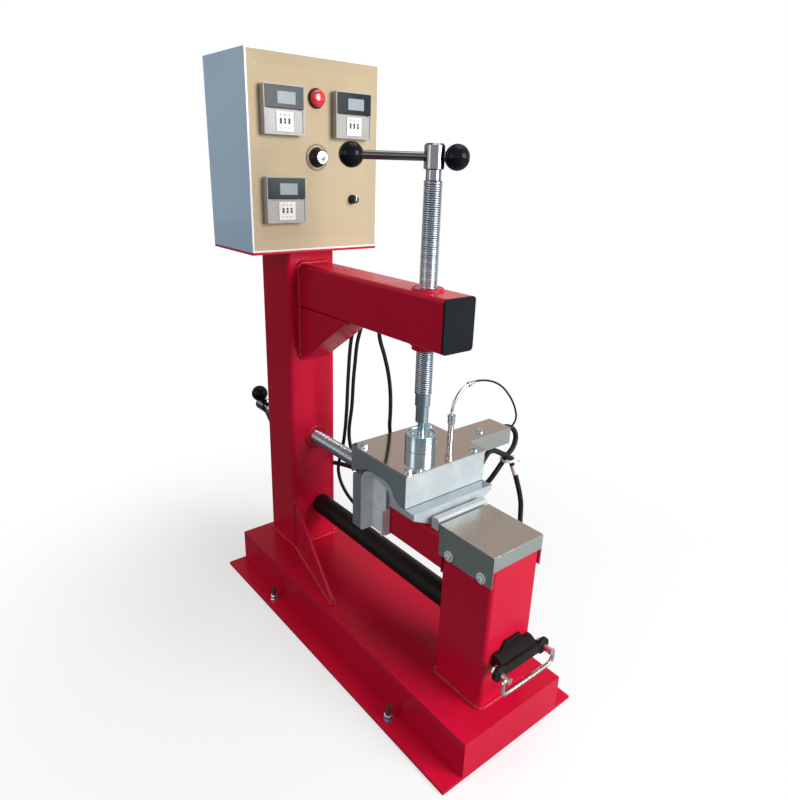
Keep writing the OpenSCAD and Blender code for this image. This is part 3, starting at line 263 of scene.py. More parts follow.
# %% Metal finishes
chrome = finish("chrome", (0.8, 0.8, 0.81), (0.74, 0.74, 0.75), scale=20, rough=0.07, spread=0.06, metal=1.0)
# Chrome for the rods and screw heads, painted dark: a painted dark reflection of the surroundings, with highlights
# left to the lamps
chrome_painted_dark = finish("chrome_with_painted_dark_reflection", (0.21, 0.215, 0.235), (0.17, 0.175, 0.19), scale=20, rough=0.09, spread=0.06,
    metal=1.0)
zinc = finish("blue_zinc_plate", (0.38, 0.6, 0.74), (0.54, 0.7, 0.82), scale=14, rough=0.18, spread=0.12, metal=1.0)
thread_steel = finish("thread_steel", (0.52, 0.6, 0.67), (0.43, 0.49, 0.55), scale=30, rough=0.2, spread=0.12,
    metal=1.0)
turned_steel = finish("turned_steel", (0.62, 0.63, 0.62), (0.52, 0.53, 0.52), scale=22, metal=1.0, bump=0.00003,
    lines=(30.0, 30.0, 2200.0, 0.16, 0.34))
brushed = finish("brushed_sheet", (0.66, 0.64, 0.6), (0.58, 0.57, 0.54), scale=9, metal=1.0, bump=0.00001,
    lines=(700.0, 30.0, 30.0, 0.16, 0.3))
stainless = finish("polished_stainless", (0.64, 0.59, 0.55), (0.58, 0.54, 0.51), scale=7, metal=1.0, bump=0.00001,
    lines=(900.0, 25.0, 25.0, 0.05, 0.12))
cast = finish("cast_aluminium", (0.62, 0.68, 0.7), (0.44, 0.49, 0.51), scale=24, speckle=0.5, rough=0.42,
    spread=0.2, metal=0.18, bump=0.0006, coarse=70, fine=420, fine_share=0.5)
machined = finish("machined_aluminium", (0.54, 0.6, 0.64), (0.45, 0.5, 0.54), scale=16, metal=0.9, bump=0.00003,
    lines=(40.0, 700.0, 700.0, 0.24, 0.42))
# Very pale cast finish: painted light on the lower mould's left hollow and its lip, and the own pale colour of the
# cover screw heads
pale_and_painted_lit = finish("pale_cast_and_painted_light", (0.9, 0.95, 0.97), (0.74, 0.82, 0.86), scale=60, bump=0.0003, coarse=90,
    fine=420)
# Dark steel: the heaters' own heat stain, the anchor studs, and painted shade at the cover screws' recesses
stain_and_shade_steel = finish("heat_stain_and_painted_shade_steel", (0.16, 0.14, 0.12), (0.1, 0.09, 0.08), scale=60, spread=0.2, metal=0.9)
spun = finish("spun_aluminium", (0.46, 0.47, 0.48), (0.3, 0.31, 0.32), scale=90, rough=0.2, spread=0.15, metal=1.0)
print("finishes:", len(bpy.data.materials))

# %% [markdown]
# Cables.
# Every cable is a fixed length of rubber lead that hangs between two ends, so its route is settled first: these are
# the route's own points, in millimetres. A smooth curve through them is sampled every few millimetres, and a round
# section is carried along it with a frame that never spins.

# %% Smooth path and tube
def between(a, b, start, end, t):
    return (end - t) / (end - start) * a + (t - start) / (end - start) * b

def smooth_path(points, step):
    pts = [Vector(p) * MM for p in points]
    pts = [2 * pts[0] - pts[1]] + pts + [2 * pts[-1] - pts[-2]]
    path = []
    for a, b, c, d in zip(pts, pts[1:], pts[2:], pts[3:]):
        count = max(2, int((c - b).length / (step * MM)))
        t1 = (b - a).length ** 0.5
        t2 = t1 + (c - b).length ** 0.5
        t3 = t2 + (d - c).length ** 0.5
        for k in range(count):
            t = t1 + (t2 - t1) * k / count
            ab = between(a, b, 0, t1, t)
            bc = between(b, c, t1, t2, t)
            cd = between(c, d, t2, t3, t)
            abc = between(ab, bc, 0, t2, t)
            bcd = between(bc, cd, t1, t3, t)
            path.append(between(abc, bcd, t1, t2, t))
    path.append(pts[-2])
    return path

def join_rings(bm, rings, smooth=True):
    for low, high in zip(rings, rings[1:]):
        for k in range(len(low)):
            nxt = (k + 1) % len(low)
            bm.faces.new(dict.fromkeys((low[k], low[nxt], high[nxt], high[k]))).smooth = smooth

def circle_angles(sides):
    return [2 * math.pi * k / sides for k in range(sides)]

def tube_mesh(name, path, radius, sides=16, radius_at=None):
    bm = bmesh.new()
    ahead = (path[1] - path[0]).normalized()
    side = ahead.orthogonal().normalized()
    rings = []
    for i, p in enumerate(path):
        new = (path[min(i + 1, len(path) - 1)] - path[max(i - 1, 0)]).normalized()
        side = (ahead.rotation_difference(new) @ side).normalized()
        ahead = new
        up = ahead.cross(side)
        r = radius_at(i / (len(path) - 1)) if radius_at else radius
        rings.append([bm.verts.new(p + r * (math.cos(a) * side + math.sin(a) * up)) for a in circle_angles(sides)])
    join_rings(bm, rings)
    bm.faces.new(list(reversed(rings[0])))
    bm.faces.new(rings[-1])
    return to_mesh(name, bm)

def plain_mesh(name, bm):
    mesh = bpy.data.meshes.new(name)
    bm.to_mesh(mesh)
    bm.free()
    return mesh

def to_mesh(name, bm):
    bmesh.ops.recalc_face_normals(bm, faces=bm.faces)
    return plain_mesh(name, bm)

def piece(name, mesh, mat, body=None):
    obj = linked(name, mesh)
    if mat is not None:
        mesh.materials.clear()
        mesh.materials.append(mat)
    if body:
        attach(obj, body)
    return obj

def placed(obj, body):
    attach(obj, body)
    return obj

def path_length(path):
    return sum((b - a).length for a, b in zip(path, path[1:]))

# %% Cable routes
SIDE_A = [(36, 170, 600), (50, 170, 600), (60, 170, 585), (58, 171, 548), (50, 172, 512), (46, 175, 438),
    (44, 176, 381), (44, 181, 335), (45, 189, 300), (50, 204, 272), (57, 221, 244), (63, 234, 216), (66, 231, 192),
    (64, 212, 177), (60, 181, 168), (53, 140, 168), (44, 100, 186), (38, 60, 224), (35, 30, 262), (35, 8, 275),
    (35, -10.5, 275)]
SIDE_B = [(36, 150, 600), (50, 150, 600), (62, 151, 586), (62, 154, 550), (56, 160, 511), (54, 164, 470),
    (53, 167, 439), (53, 172, 380), (52, 179, 333), (52, 178, 308), (52, 170, 288), (52, 150, 268), (52, 116, 254),
    (53, 76, 250), (54, 36, 261), (55, 10, 270), (55, -10.5, 270)]
HUMP = [(22, 50, 577), (22, 50, 558), (25, 50, 543), (33, 50, 521), (44, 50, 483), (50, 50, 445), (52, 51, 410),
    (54, 54, 376), (63, 58, 352), (82, 58, 332), (104, 48, 316), (118, 22, 305), (119, -20, 301), (100, -54, 301),
    (73, -54, 301)]
LOWER = [(46, -110, 324), (76, -110, 324), (100, -109, 324.5), (122, -106, 336), (138, -103, 351), (152, -100.5, 360),
    (164, -99.5, 360), (177, -98.5, 354), (190, -98, 346.5), (203, -97.7, 339.5), (212, -97.6, 332.5),
    (219, -98, 321), (225, -101, 306), (232, -104, 284), (240, -107, 258), (246, -109, 232), (247, -110, 212),
    (244, -114, 192), (232, -126, 174), (202, -152, 162), (150, -198, 158), (84, -240, 160), (51, -240, 160)]
UPPER = [(93, -78, 383), (150, -78, 383), (200, -78, 386), (223, -79, 384), (238, -80.5, 375), (244, -82, 361),
    (240, -84, 348), (231, -86, 339), (218, -87, 331), (205, -86, 316), (192, -84, 300), (181, -80, 285),
    (165, -68, 268), (144, -34, 250), (126, 20, 236), (112, 90, 226), (103, 160, 219), (95, 220, 216),
    (80, 258, 216), (64, 276, 216), (50, 276, 216)]
LEAD = [(122, -82, 489.8), (128, -82, 490.3), (141, -82, 489), (158, -82, 485), (176, -82, 478), (195, -82, 466),
    (213, -82, 448.5), (225.5, -82, 432.5), (236, -81, 415.5), (243, -79, 399), (244, -75, 385), (237, -70, 374),
    (221, -67, 375), (200, -66, 382), (150, -66, 386), (93, -66, 386)]
CABLE_D, SLEEVE_D, LEAD_D, MARKER_D = 7.0, 9.5, 3.5, 10.6
PATH_STEP = 4

def cable(name, route, diameter, mat, node, moves=None):
    path = smooth_path(route, PATH_STEP)
    obj = piece(name, tube_mesh(name, path, diameter / 2 * MM), mat)
    if moves:
        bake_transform(obj)
    else:
        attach(obj, body_of_node[node])
    print(name, round(path_length(path), 3), "m")
    return obj

SIDE_MOVE = ("frame", "side", (0.03, 0.110, 0.26), (0.03, 0.012, 0.26))
PRESS_MOVE = ("frame", "press", (0.240, -0.084, 0.337), (0.240, -0.084, 0.372))
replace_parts(cable("side_cable_left", SIDE_A, CABLE_D, rubber, "side_cables", SIDE_MOVE), "side_cables")
cable("side_cable_right", SIDE_B, CABLE_D, rubber, "side_cables", SIDE_MOVE)
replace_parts(cable("hump_mould_cable", HUMP, CABLE_D, rubber, "hump_cable"), "hump_cable")
marker_path = [p for p in smooth_path(LOWER, 2) if 0.296 < p.z < 0.316 and p.x > 0.2]
marker_mesh = tube_mesh("cable_marker", marker_path, MARKER_D / 2 * MM, 24)
marker = piece("cable_marker", marker_mesh, tie_white, "frame")
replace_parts(cable("lower_mould_cable", LOWER, SLEEVE_D, sleeve, "lower_cable"), "lower_cable")
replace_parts(cable("upper_mould_cable", UPPER, SLEEVE_D, sleeve, "upper_cable", PRESS_MOVE), "upper_cable")
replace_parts(cable("probe_lead_wire", LEAD, LEAD_D, rubber, "probe_lead"), "probe_lead")

# %% [markdown]
# Softened edges.
# No edge on a real machine is a knife edge: tube corners are rolled, sheet is folded and castings are dressed. Each
# plain solid of the frame is copied, its loose triangles are merged and its flat faces joined, and a Bevel modifier
# rounds what is left. The copy then stands for the solid.

# %% Soft copies of the frame's solids
# Left hollow of the lower mould: its floor, the middle and radius of its arch, how much thinner its skin is shown
HOLLOW_X, ARCH_Y, ARCH_Z, ARCH_R, SKIN_OFF, NEAR = -53, -62, 341, 20, 5, 0.05

def thin_skin(bm):
    for v in bm.verts:
        y, z = v.co.y / MM - ARCH_Y, v.co.z / MM - ARCH_Z
        way = Vector((0, y, z)) if z > 0 else Vector((0, y, 0))
        if v.co.x / MM < HOLLOW_X + NEAR and y > -NEAR and abs(way.length - ARCH_R) < NEAR:
            v.co += way.normalized() * SKIN_OFF * MM

def bevelled(obj, width, segments, angle):
    bevel = obj.modifiers.new("rounded edges", "BEVEL")
    bevel.width, bevel.segments = width * MM, segments
    bevel.limit_method, bevel.angle_limit = "ANGLE", math.radians(angle)

MERGE, FLAT_ANGLE, SOFT_ANGLE = 0.00001, 0.6, 32

def soft_copy(node, mat, width, segments=2):
    bm = bmesh.new()
    bm.from_mesh(nodes[node].data)
    bmesh.ops.remove_doubles(bm, verts=bm.verts, dist=MERGE)
    bmesh.ops.dissolve_limit(bm, angle_limit=math.radians(FLAT_ANGLE), verts=bm.verts, edges=bm.edges)
    if node == "lower_mould":
        thin_skin(bm)
    for f in bm.faces:
        f.smooth = True
    obj = piece(node + "_soft", plain_mesh(node + "_soft", bm), mat)
    bevelled(obj, width, segments, SOFT_ANGLE)
    flat = obj.modifiers.new("flat faces", "WEIGHTED_NORMAL")
    flat.mode, flat.weight = "FACE_AREA", 90
    placed(baked(obj), body_of_node[node])
    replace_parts(obj, node)
    return obj

def shown_mesh(obj):
    bpy.context.view_layer.update()
    return bpy.data.meshes.new_from_object(obj.evaluated_get(bpy.context.evaluated_depsgraph_get()))

def baked(obj):
    mesh = shown_mesh(obj)
    obj.modifiers.clear()
    obj.data = mesh
    return obj

SOFT = [("base", red, 2.0, 3), ("column", red, 0.8), ("column_gusset", red, 1.0), ("arm", red, 0.8),
    ("arm_gusset", red, 1.5), ("top_plate pedestal beam", red, 0.8), ("press_nut side_nut", red, 1.0),
    ("arm_end_cap", cap_black, 1.2, 3),
    ("tie_tube", black_satin, 0.5), ("handle_bracket", black_satin, 1.0), ("clamp_bar", cast, 1.2),
    ("upper_mould", cast, 0.9), ("lower_mould side_mould", cast, 1.0), ("cover_plate", stainless, 0.35),
    ("pedestal_cover", brushed, 0.5), ("thrust_cup thrust_cap side_thrust_ring", zinc, 0.8, 3),
    ("control_panel", panel_beige, 0.2, 1), ("controller_cases", case_grey, 0.9), ("control_box", box_grey, 1.0),
    ("handle_posts", chrome, 0.5), ("box_gland", black_moulded, 0.6), ("temperature_probe", turned_steel, 0.4),
    ("cable_bushes", black_moulded, 0.8)]
soft = {node: soft_copy(node, *look) for names, *look in SOFT for node in names.split()}
print("softened:", len(soft), "solids")

# %% Milled faces of the castings; the lower mould's left hollow is painted light and the moulds' left faces partly painted shade
TRAY_ABOVE, END_X = 336, -72.5
UPWARD, LEFTWARD, FRONTWARD = 0.35, -0.9, -0.3
for face in soft["lower_mould"].data.polygons:
    tray = face.normal.z > UPWARD and face.center.z > TRAY_ABOVE * MM
    inward = face.normal.x < LEFTWARD or face.normal.y < FRONTWARD
    # Inward faces of the left hollow take the very pale finish: painted light, as if the hollow were lit from the
    # left and front
    hollow = inward and END_X * MM < face.center.x < (HOLLOW_X + 0.5) * MM
    face.material_index = 1 if tray else 2 if hollow else 0
for mat in (machined, pale_and_painted_lit):
    soft["lower_mould"].data.materials.append(mat)
# The left faces of the upper and side moulds take the metallic milled finish: partly their own sawn face, partly
# painted shade, since metal turned left mirrors the floor painted dark there
for node in ("upper_mould", "side_mould"):
    for face in soft[node].data.polygons:
        face.material_index = int(face.normal.x < LEFTWARD)
    soft[node].data.materials.append(machined)
print("milled faces set")

# %% Finish for the solids that stay as they are
def dress(node, mat):
    obj = nodes[node]
    obj.data.materials.clear()
    obj.data.materials.append(mat)

WHEELS = ["digit_wheel_%d" % n for n in range(1, 10)]
for names, mat in (("tbar_rod side_rod", chrome_painted_dark), ("tbar_balls side_balls", black_ball),
        ("upper_heater lower_heaters side_heaters", stain_and_shade_steel), ("timer_dial", panel_beige),
        ("cable_tie", tie_white), (" ".join(["switch_knob", *WHEELS]), black_moulded)):
    for node in names.split():
        dress(node, mat)
print("dressed the rest")

# %% [markdown]
# Building blocks.
# Most small pieces are turned parts, flat rings or slabs. One helper spins a profile round any axis, one makes a flat
# frame such as the bezel of a controller, and one a block. All give closed meshes with their place in the mesh.

# %% Lathe, ring and box helpers
EDGE_SEGMENTS, EDGE_ANGLE = 2, 35

def made(name, bm, mat, body, edge=0.0):
    obj = piece(name, to_mesh(name, bm), mat)
    if edge:
        bevelled(obj, edge, EDGE_SEGMENTS, EDGE_ANGLE)
        baked(obj)
    return placed(obj, body)

def turned(name, profile, at, axis, sides, mat, body):
    bm = bmesh.new()
    axis = Vector(axis).normalized()
    side = axis.orthogonal().normalized()
    up = axis.cross(side)
    rings = []
    for along, radius in profile:
        centre = (Vector(at) + axis * along) * MM
        if radius == 0:
            rings.append([bm.verts.new(centre)] * sides)
        else:
            rings.append([bm.verts.new(centre + radius * MM * (math.cos(a) * side + math.sin(a) * up))
                          for a in circle_angles(sides)])
    join_rings(bm, rings)
    return made(name, bm, mat, body)

def ring_plate(bm, outer, inner, y_front, y_back):
    loops = []
    for (x0, x1, z0, z1), y in ((outer, y_back), (outer, y_front), (inner, y_front), (inner, y_back)):
        loops.append([bm.verts.new(Vector((x, y, z)) * MM) for x, z in ((x0, z0), (x1, z0), (x1, z1), (x0, z1))])
    join_rings(bm, loops + loops[:1], False)

def block(bm, low, high):
    corners = [bm.verts.new(Vector((x, y, z)) * MM) for z in (low[2], high[2]) for y in (low[1], high[1])
               for x in (low[0], high[0])]
    for face in ((0, 2, 3, 1), (4, 5, 7, 6), (0, 1, 5, 4), (2, 6, 7, 3), (0, 4, 6, 2), (1, 3, 7, 5)):
        bm.faces.new([corners[i] for i in face])

def slab(name, low, high, mat, body, edge):
    bm = bmesh.new()
    block(bm, low, high)
    return made(name, bm, mat, body, edge)

# %% [markdown]
# Geometry Nodes.
# Weld beads, threads, bolts and dial marks all repeat one shape along a path or on points. Each has its own small
# tree with named inputs. The tree is run once and the result is kept as a plain mesh.

# %% Tree helpers
def grower(name, inputs):
    inputs = {"Geometry": None, **inputs, "Material": None}
    return node_group(name, "GeometryNodeTree", inputs, {"Geometry": "Geometry"})

def geo(tree, kind, links=None, **props):
    return add(tree, "GeometryNode" + kind, links, **props).outputs[0]

def close_tree(tree, gin, gout, geometry):
    real = geo(tree, "RealizeInstances", {"Geometry": geometry})
    paint = geo(tree, "SetMaterial", {"Geometry": real, "Material": gin["Material"]})
    tree.links.new(paint, gout["Geometry"])

def together(tree, shapes):
    node = add(tree, "GeometryNodeJoinGeometry")
    for shape in shapes:
        tree.links.new(shape, node.inputs[0])
    return node.outputs[0]

def raised(tree, shape, height):
    up = add(tree, "ShaderNodeCombineXYZ", {"Z": height}).outputs[0]
    return geo(tree, "Transform", {"Geometry": shape, "Translation": up})

def aimed(tree, vector, axis):
    return add(tree, "FunctionNodeAlignRotationToVector", {"Vector": vector}, axis=axis).outputs[0]

def grow(name, mesh, tree, values, mat):
    obj = piece(name, mesh, None)
    mod = obj.modifiers.new(tree.name, "NODES")
    mod.node_group = tree
    values = {**values, "Material": mat}
    for item in tree.interface.items_tree:
        if item.in_out == "INPUT" and item.name in values:
            mod[item.identifier] = values[item.name]
    return baked(obj)

def points_mesh(name, points):
    mesh = bpy.data.meshes.new(name)
    mesh.from_pydata([Vector(p) * MM for p in points], [], [])
    return mesh

# %% Weld bead tree: a tube along a path whose radius ripples like a row of frozen puddles
LUMP_SCALE, MEAN_WIDTH = 70.0, 0.86
bead, gin, gout = grower("weld_bead", {"Radius": 0.004, "Ripple pitch": 0.004, "Ripple": 0.18, "Unevenness": 0.5,
    "Step": 0.0012})
seam = geo(bead, "MeshToCurve", {"Mesh": gin["Geometry"]})
even = geo(bead, "ResampleCurve", {"Curve": seam, "Length": gin["Step"]}, mode="LENGTH")
run = add(bead, "GeometryNodeSplineParameter").outputs["Length"]
lumps = noise(bead, geo(bead, "InputPosition"), LUMP_SCALE, 2.0)
turns = calc(bead, "DIVIDE", run, gin["Ripple pitch"])
wave = calc(bead, "ABSOLUTE", calc(bead, "SINE", calc(bead, "MULTIPLY", turns, math.pi)))
ripple = calc(bead, "MULTIPLY", wave, gin["Ripple"])
lump = calc(bead, "MULTIPLY", calc(bead, "SUBTRACT", lumps, 0.5), gin["Unevenness"])
width = calc(bead, "MULTIPLY", calc(bead, "ADD", calc(bead, "ADD", ripple, lump), MEAN_WIDTH), gin["Radius"])
ring = geo(bead, "CurvePrimitiveCircle", {"Resolution": 10, "Radius": 1.0})
tube = geo(bead, "CurveToMesh", {"Curve": even, "Profile Curve": ring, "Scale": width, "Fill Caps": True})
close_tree(bead, gin, gout, geo(bead, "SetShadeSmooth", {"Geometry": tube}))

# %% Thread tree: one ridge wound round a core
thread, gin, gout = grower("screw_thread", {"Turns": 100.0, "Length": 0.3, "Crest radius": 0.0135, "Ridge": 0.0013,
    "Core radius": 0.0118})
wound_at = calc(thread, "SUBTRACT", gin["Crest radius"], gin["Ridge"])
coil = geo(thread, "CurveSpiral", {"Resolution": 20, "Rotations": gin["Turns"], "Start Radius": wound_at,
    "End Radius": wound_at, "Height": gin["Length"]})
ridge = geo(thread, "CurvePrimitiveCircle", {"Resolution": 6, "Radius": gin["Ridge"]})
wound = geo(thread, "CurveToMesh", {"Curve": coil, "Profile Curve": ridge, "Fill Caps": True})
core = geo(thread, "MeshCylinder", {"Vertices": 40, "Radius": gin["Core radius"], "Depth": gin["Length"]})
lifted = raised(thread, core, calc(thread, "MULTIPLY", gin["Length"], 0.5))
close_tree(thread, gin, gout, geo(thread, "SetShadeSmooth", {"Geometry": together(thread, (lifted, wound))}))

# %% Bolt tree: a washer, a head with a chamfer and a stud on every point, all facing one way
CROWN_RISE, CROWN_TOP = 0.22, 0.78
bolt, gin, gout = grower("bolt_heads", {
    "Facing": Vector((0, 0, 1)), "Sides": 6, "Head radius": 0.006, "Head height": 0.004, "Washer radius": 0.008,
    "Washer height": 0.001, "Stud radius": 0.001, "Stud height": 0.001})

def disc(part, sides, low):
    height = gin[part + " height"]
    shape = geo(bolt, "MeshCylinder", {"Vertices": sides, "Radius": gin[part + " radius"], "Depth": height})
    return raised(bolt, shape, calc(bolt, "ADD", low, calc(bolt, "MULTIPLY", height, 0.5)))

crown = geo(bolt, "MeshCone", {"Vertices": gin["Sides"], "Radius Bottom": gin["Head radius"],
    "Radius Top": calc(bolt, "MULTIPLY", gin["Head radius"], CROWN_TOP),
    "Depth": calc(bolt, "MULTIPLY", gin["Head height"], CROWN_RISE)})
crown_base = calc(bolt, "ADD", gin["Washer height"], gin["Head height"])
stack = together(bolt, (disc("Washer", 28, 0.0), disc("Head", gin["Sides"], gin["Washer height"]),
    raised(bolt, crown, crown_base), disc("Stud", 20, 0.0)))
spots = geo(bolt, "MeshToPoints", {"Mesh": gin["Geometry"]})
facing = aimed(bolt, gin["Facing"], "Z")
close_tree(bolt, gin, gout, geo(bolt, "InstanceOnPoints", {"Points": spots, "Instance": stack, "Rotation": facing}))

# %% Dial tree: small bars round a circle, each pointing at its centre
marks, gin, gout = grower("dial_marks", {"Count": 30, "Radius": 0.018, "Mark length": 0.003, "Mark width": 0.0006,
    "Mark height": 0.0003})
circle = geo(marks, "MeshCircle", {"Vertices": gin["Count"], "Radius": gin["Radius"]})
size = add(marks, "ShaderNodeCombineXYZ", {"X": gin["Mark length"], "Y": gin["Mark width"], "Z": gin["Mark height"]})
bar = geo(marks, "MeshCube", {"Size": size.outputs[0]})
aim = aimed(marks, geo(marks, "InputPosition"), "X")
close_tree(marks, gin, gout, geo(marks, "InstanceOnPoints", {"Points": circle, "Instance": bar, "Rotation": aim}))
print("trees:", [t.name for t in (bead, thread, bolt, marks)])

# %% [markdown]
# Welds.
# The frame is cut from square tube and joined by hand, so each joint has a rippled bead with paint pooled over it.
# The paths below follow the joints, a little outside both faces, and the bead tree does the rest.

# %% Weld beads
def loop_path(u0, u1, v0, v1, r, place_at, steps=6):
    pts = []
    for cu, cv, start in ((u1 - r, v1 - r, 0), (u0 + r, v1 - r, 90), (u0 + r, v0 + r, 180), (u1 - r, v0 + r, 270)):
        for k in range(steps + 1):
            a = math.radians(start + 90 * k / steps)
            pts.append(place_at(cu + r * math.cos(a), cv + r * math.sin(a)))
    return pts + pts[:1]

def circle_path(radius, place_at, steps=48):
    pts = [place_at(radius * math.cos(a), radius * math.sin(a)) for a in circle_angles(steps)]
    return pts + pts[:1]

def seam_mesh(name, paths):
    verts, edges = [], []
    for path in paths:
        first = len(verts)
        verts += [Vector(p) * MM for p in path]
        edges += [(first + i, first + i + 1) for i in range(len(path) - 1)]
    mesh = bpy.data.meshes.new(name)
    mesh.from_pydata(verts, edges, [])
    return mesh

COLUMN_RING, COLUMN_Y, BASE_Z, TOP_Z = (-44.4, 56.4, 235.6, 336.4, 8), 235.4, 67.6, 677.4
GUSSET_FOOT = [(-44.4, 233), (-66, 134), (-87.6, 35), (-84, 33.4), (-80.6, 34), (-59, 133), (-37.6, 231)]
GUSSET_SIDE = [(-44.3, 72), (-44.3, 120), (-44, 170), (-41, 172.6), (-38, 170), (-37.8, 120), (-37.8, 72)]
WIDE = [loop_path(*COLUMN_RING, lambda u, v: (u, v, BASE_Z)),
    loop_path(-45.4, 55.4, -299.4, -198.6, 8, lambda u, v: (u, v, BASE_Z)),
    loop_path(-20.4, 40.4, 474.6, 653.4, 6, lambda u, v: (u, COLUMN_Y, v)),
    loop_path(*COLUMN_RING, lambda u, v: (u, v, TOP_Z)),
    [(x, y, BASE_Z) for x, y in GUSSET_FOOT]]
NARROW = [[(-43, -198.8, 254.8), (5, -198.8, 254.6), (53, -198.8, 254.8)],
    [(x, COLUMN_Y, z) for x, z in GUSSET_SIDE],
    [(-19, 85.6, 572.6), (10, 85.6, 572.4), (39, 85.6, 572.6)],
    circle_path(21.6, lambda u, v: (PRESS_X + u, COLUMN_Y, 306 + v)),
    circle_path(21.4, lambda u, v: (PRESS_X + u, PRESS_Y + v, 653.4)),
    circle_path(21.4, lambda u, v: (PRESS_X + u, PRESS_Y + v, 572.6))]
for name, paths, size in (("frame_welds", WIDE, 4.6), ("small_welds", NARROW, 3.4)):
    obj = grow(name, seam_mesh(name, paths), bead, {"Radius": size * MM, "Ripple pitch": size * 1.05 * MM}, weld_red)
    placed(obj, "frame")
    print(name, len(obj.data.polygons), "faces")

# %% Short lip at the front of the lower mould's left hollow, in the very pale finish: painted light on its rim
slab("hollow_lip", (-63, -77.5, 259), (-46, -73.8, 304), pale_and_painted_lit, "frame", 1.2)

# %% [markdown]
# Screws.
# Both press screws are rolled thread with turned ends. The ends are cut from the solid's own mesh, and a wound ridge
# on a core stands between them, at the same crest diameter.

# %% Threaded screws
THREAD_PITCH, CREASE = 3.0, 30

def threaded(node, axis, start, end):
    flow = Vector(axis)
    length = end - start
    wound = grow(node + "_thread", points_mesh("seed", [(0, 0, 0)]), thread,
                 {"Turns": length / THREAD_PITCH, "Length": length * MM}, thread_steel)
    origin = Vector([(a + b) / 2 for a, b in zip(*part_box(node))])
    origin[max(range(3), key=lambda i: abs(flow[i]))] = start * MM
    turn = Vector((0, 0, 1)).rotation_difference(flow).to_matrix().to_4x4()
    wound.data.transform(Matrix.Translation(origin) @ turn)
    whole = bmesh.new()
    whole.from_mesh(wound.data)
    bpy.data.objects.remove(wound)
    for keep_low, at in ((True, start), (False, end)):
        part = bmesh.new()
        part.from_mesh(nodes[node].data)
        bmesh.ops.remove_doubles(part, verts=part.verts, dist=MERGE)
        cut = bmesh.ops.bisect_plane(part, geom=part.verts[:] + part.edges[:] + part.faces[:],
            plane_co=flow * at * MM, plane_no=flow, clear_outer=keep_low, clear_inner=not keep_low)
        open_edges = [e for e in cut["geom_cut"] if isinstance(e, bmesh.types.BMEdge)]
        bmesh.ops.holes_fill(part, edges=open_edges, sides=0)
        for f in part.faces:
            f.smooth = True
        for e in part.edges:
            e.smooth = e.calc_face_angle(0) < math.radians(CREASE)
        whole.from_mesh(plain_mesh("end", part))
    obj = made(node + "_threaded", whole, thread_steel, body_of_node[node])
    obj.data.materials.append(chrome_painted_dark)
    for face in obj.data.polygons:
        face.material_index = int(face.center.dot(flow) > end * MM)
    return obj

for node, axis, start, end in (("press_screw", (0, 0, 1), 494, 802), ("side_screw", (0, 1, 0), 55, 420)):
    obj = threaded(node, axis, start, end)
    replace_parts(obj, node)
    print(obj.name, len(obj.data.polygons), "faces")

# %% [markdown]
# Fasteners.
# Sheet is held with hexagon bolts and pan-head screws, the thrust cap with two small screws, and the base with nuts
# on four anchor studs. One tree sets them all, with its own sizes for each group.

# %% Bolts, screws and anchor nuts, each size a radius and a height
PLATE_TOP, CAP_TOP, FLANGE_TOP, COVER_SCREW_Z, CAP_RING = 398.5, 424, 5, 290, 14.5

def fasten(name, points, mat, body, head, washer, stud=(1, 1), sides=6, facing=(0, 0, 1)):
    values = {"Facing": facing, "Sides": sides}
    for part, (radius, height) in (("Head", head), ("Washer", washer), ("Stud", stud)):
        values.update({part + " radius": radius * MM, part + " height": height * MM})
    return placed(grow(name, points_mesh(name, points), bolt, values, mat), body)

plate_points = [(-62, -26), (-60, -133), (76, -135), (78, -24), (138, -88)]
fasten("plate_bolts", [(x, y, PLATE_TOP) for x, y in plate_points], zinc, "press", (5.6, 3.6), (7.2, 1.2))
for name, x, way in (("cover_screws_left", -46.5, -1), ("cover_screws_right", 56.5, 1)):
    points = [(x, y, COVER_SCREW_Z) for y in (-215, -280)]
    fasten(name, points, pale_and_painted_lit, "frame", (5.0, 2.6), (8.2, 1.1), sides=20, facing=(way, 0, 0))
    # A small dark hexagon dome through the middle of each head and a thin dark ring at its foot: painted shade of the
    # head's recess and of the joint under it
    fasten(name + "_recess_painted_shade", points, stain_and_shade_steel, "frame", (1.9, 2.5), (5.7, 1.3), facing=(way, 0, 0))
cap_points = [(PRESS_X + CAP_RING * math.cos(a), PRESS_Y + CAP_RING * math.sin(a), CAP_TOP) for a in (2.4, 5.55)]
fasten("cap_screws", cap_points, turned_steel, "press", (2.7, 1.5), (3.0, 0.2), sides=18)
anchors = [(x, y, FLANGE_TOP) for x in (-125, 125) for y in (-184, 184)]
fasten("anchor_nuts", anchors, zinc, "frame", (7.2, 6.4), (8.0, 1.4))
fasten("anchor_studs", anchors, stain_and_shade_steel, "frame", (3.0, 2.0), (3.0, 1.0), (3.7, 26))
print("fasteners set")

# %% [markdown]
# Control panel.
# The folded box has a white edge round the panel. Each controller has a raised bezel, a display behind its window and
# a white block with three thumbwheels. The wheels carry their numbers, so these pieces ride on the wheels.

# %% Box edge and panel edge
PANEL, EDGE_Y, SUNK_Y = (-129.6, 114.4, 685.4, 979.6), 189.7, 191.45
bm = bmesh.new()
ring_plate(bm, (-133, 117, 682.4, 982), PANEL, 189.5, 190.4)
made("box_edge", bm, rim_white, "frame", 0.3)
bm = bmesh.new()
ring_plate(bm, PANEL, (-112, 97, 703, 962), EDGE_Y, 191.7)
for v in bm.verts:
    if abs(v.co.y - EDGE_Y * MM) < 1e-6 and -113 < v.co.x / MM < 98:
        v.co.y = SUNK_Y * MM
made("panel_edge", bm, panel_beige, "frame")

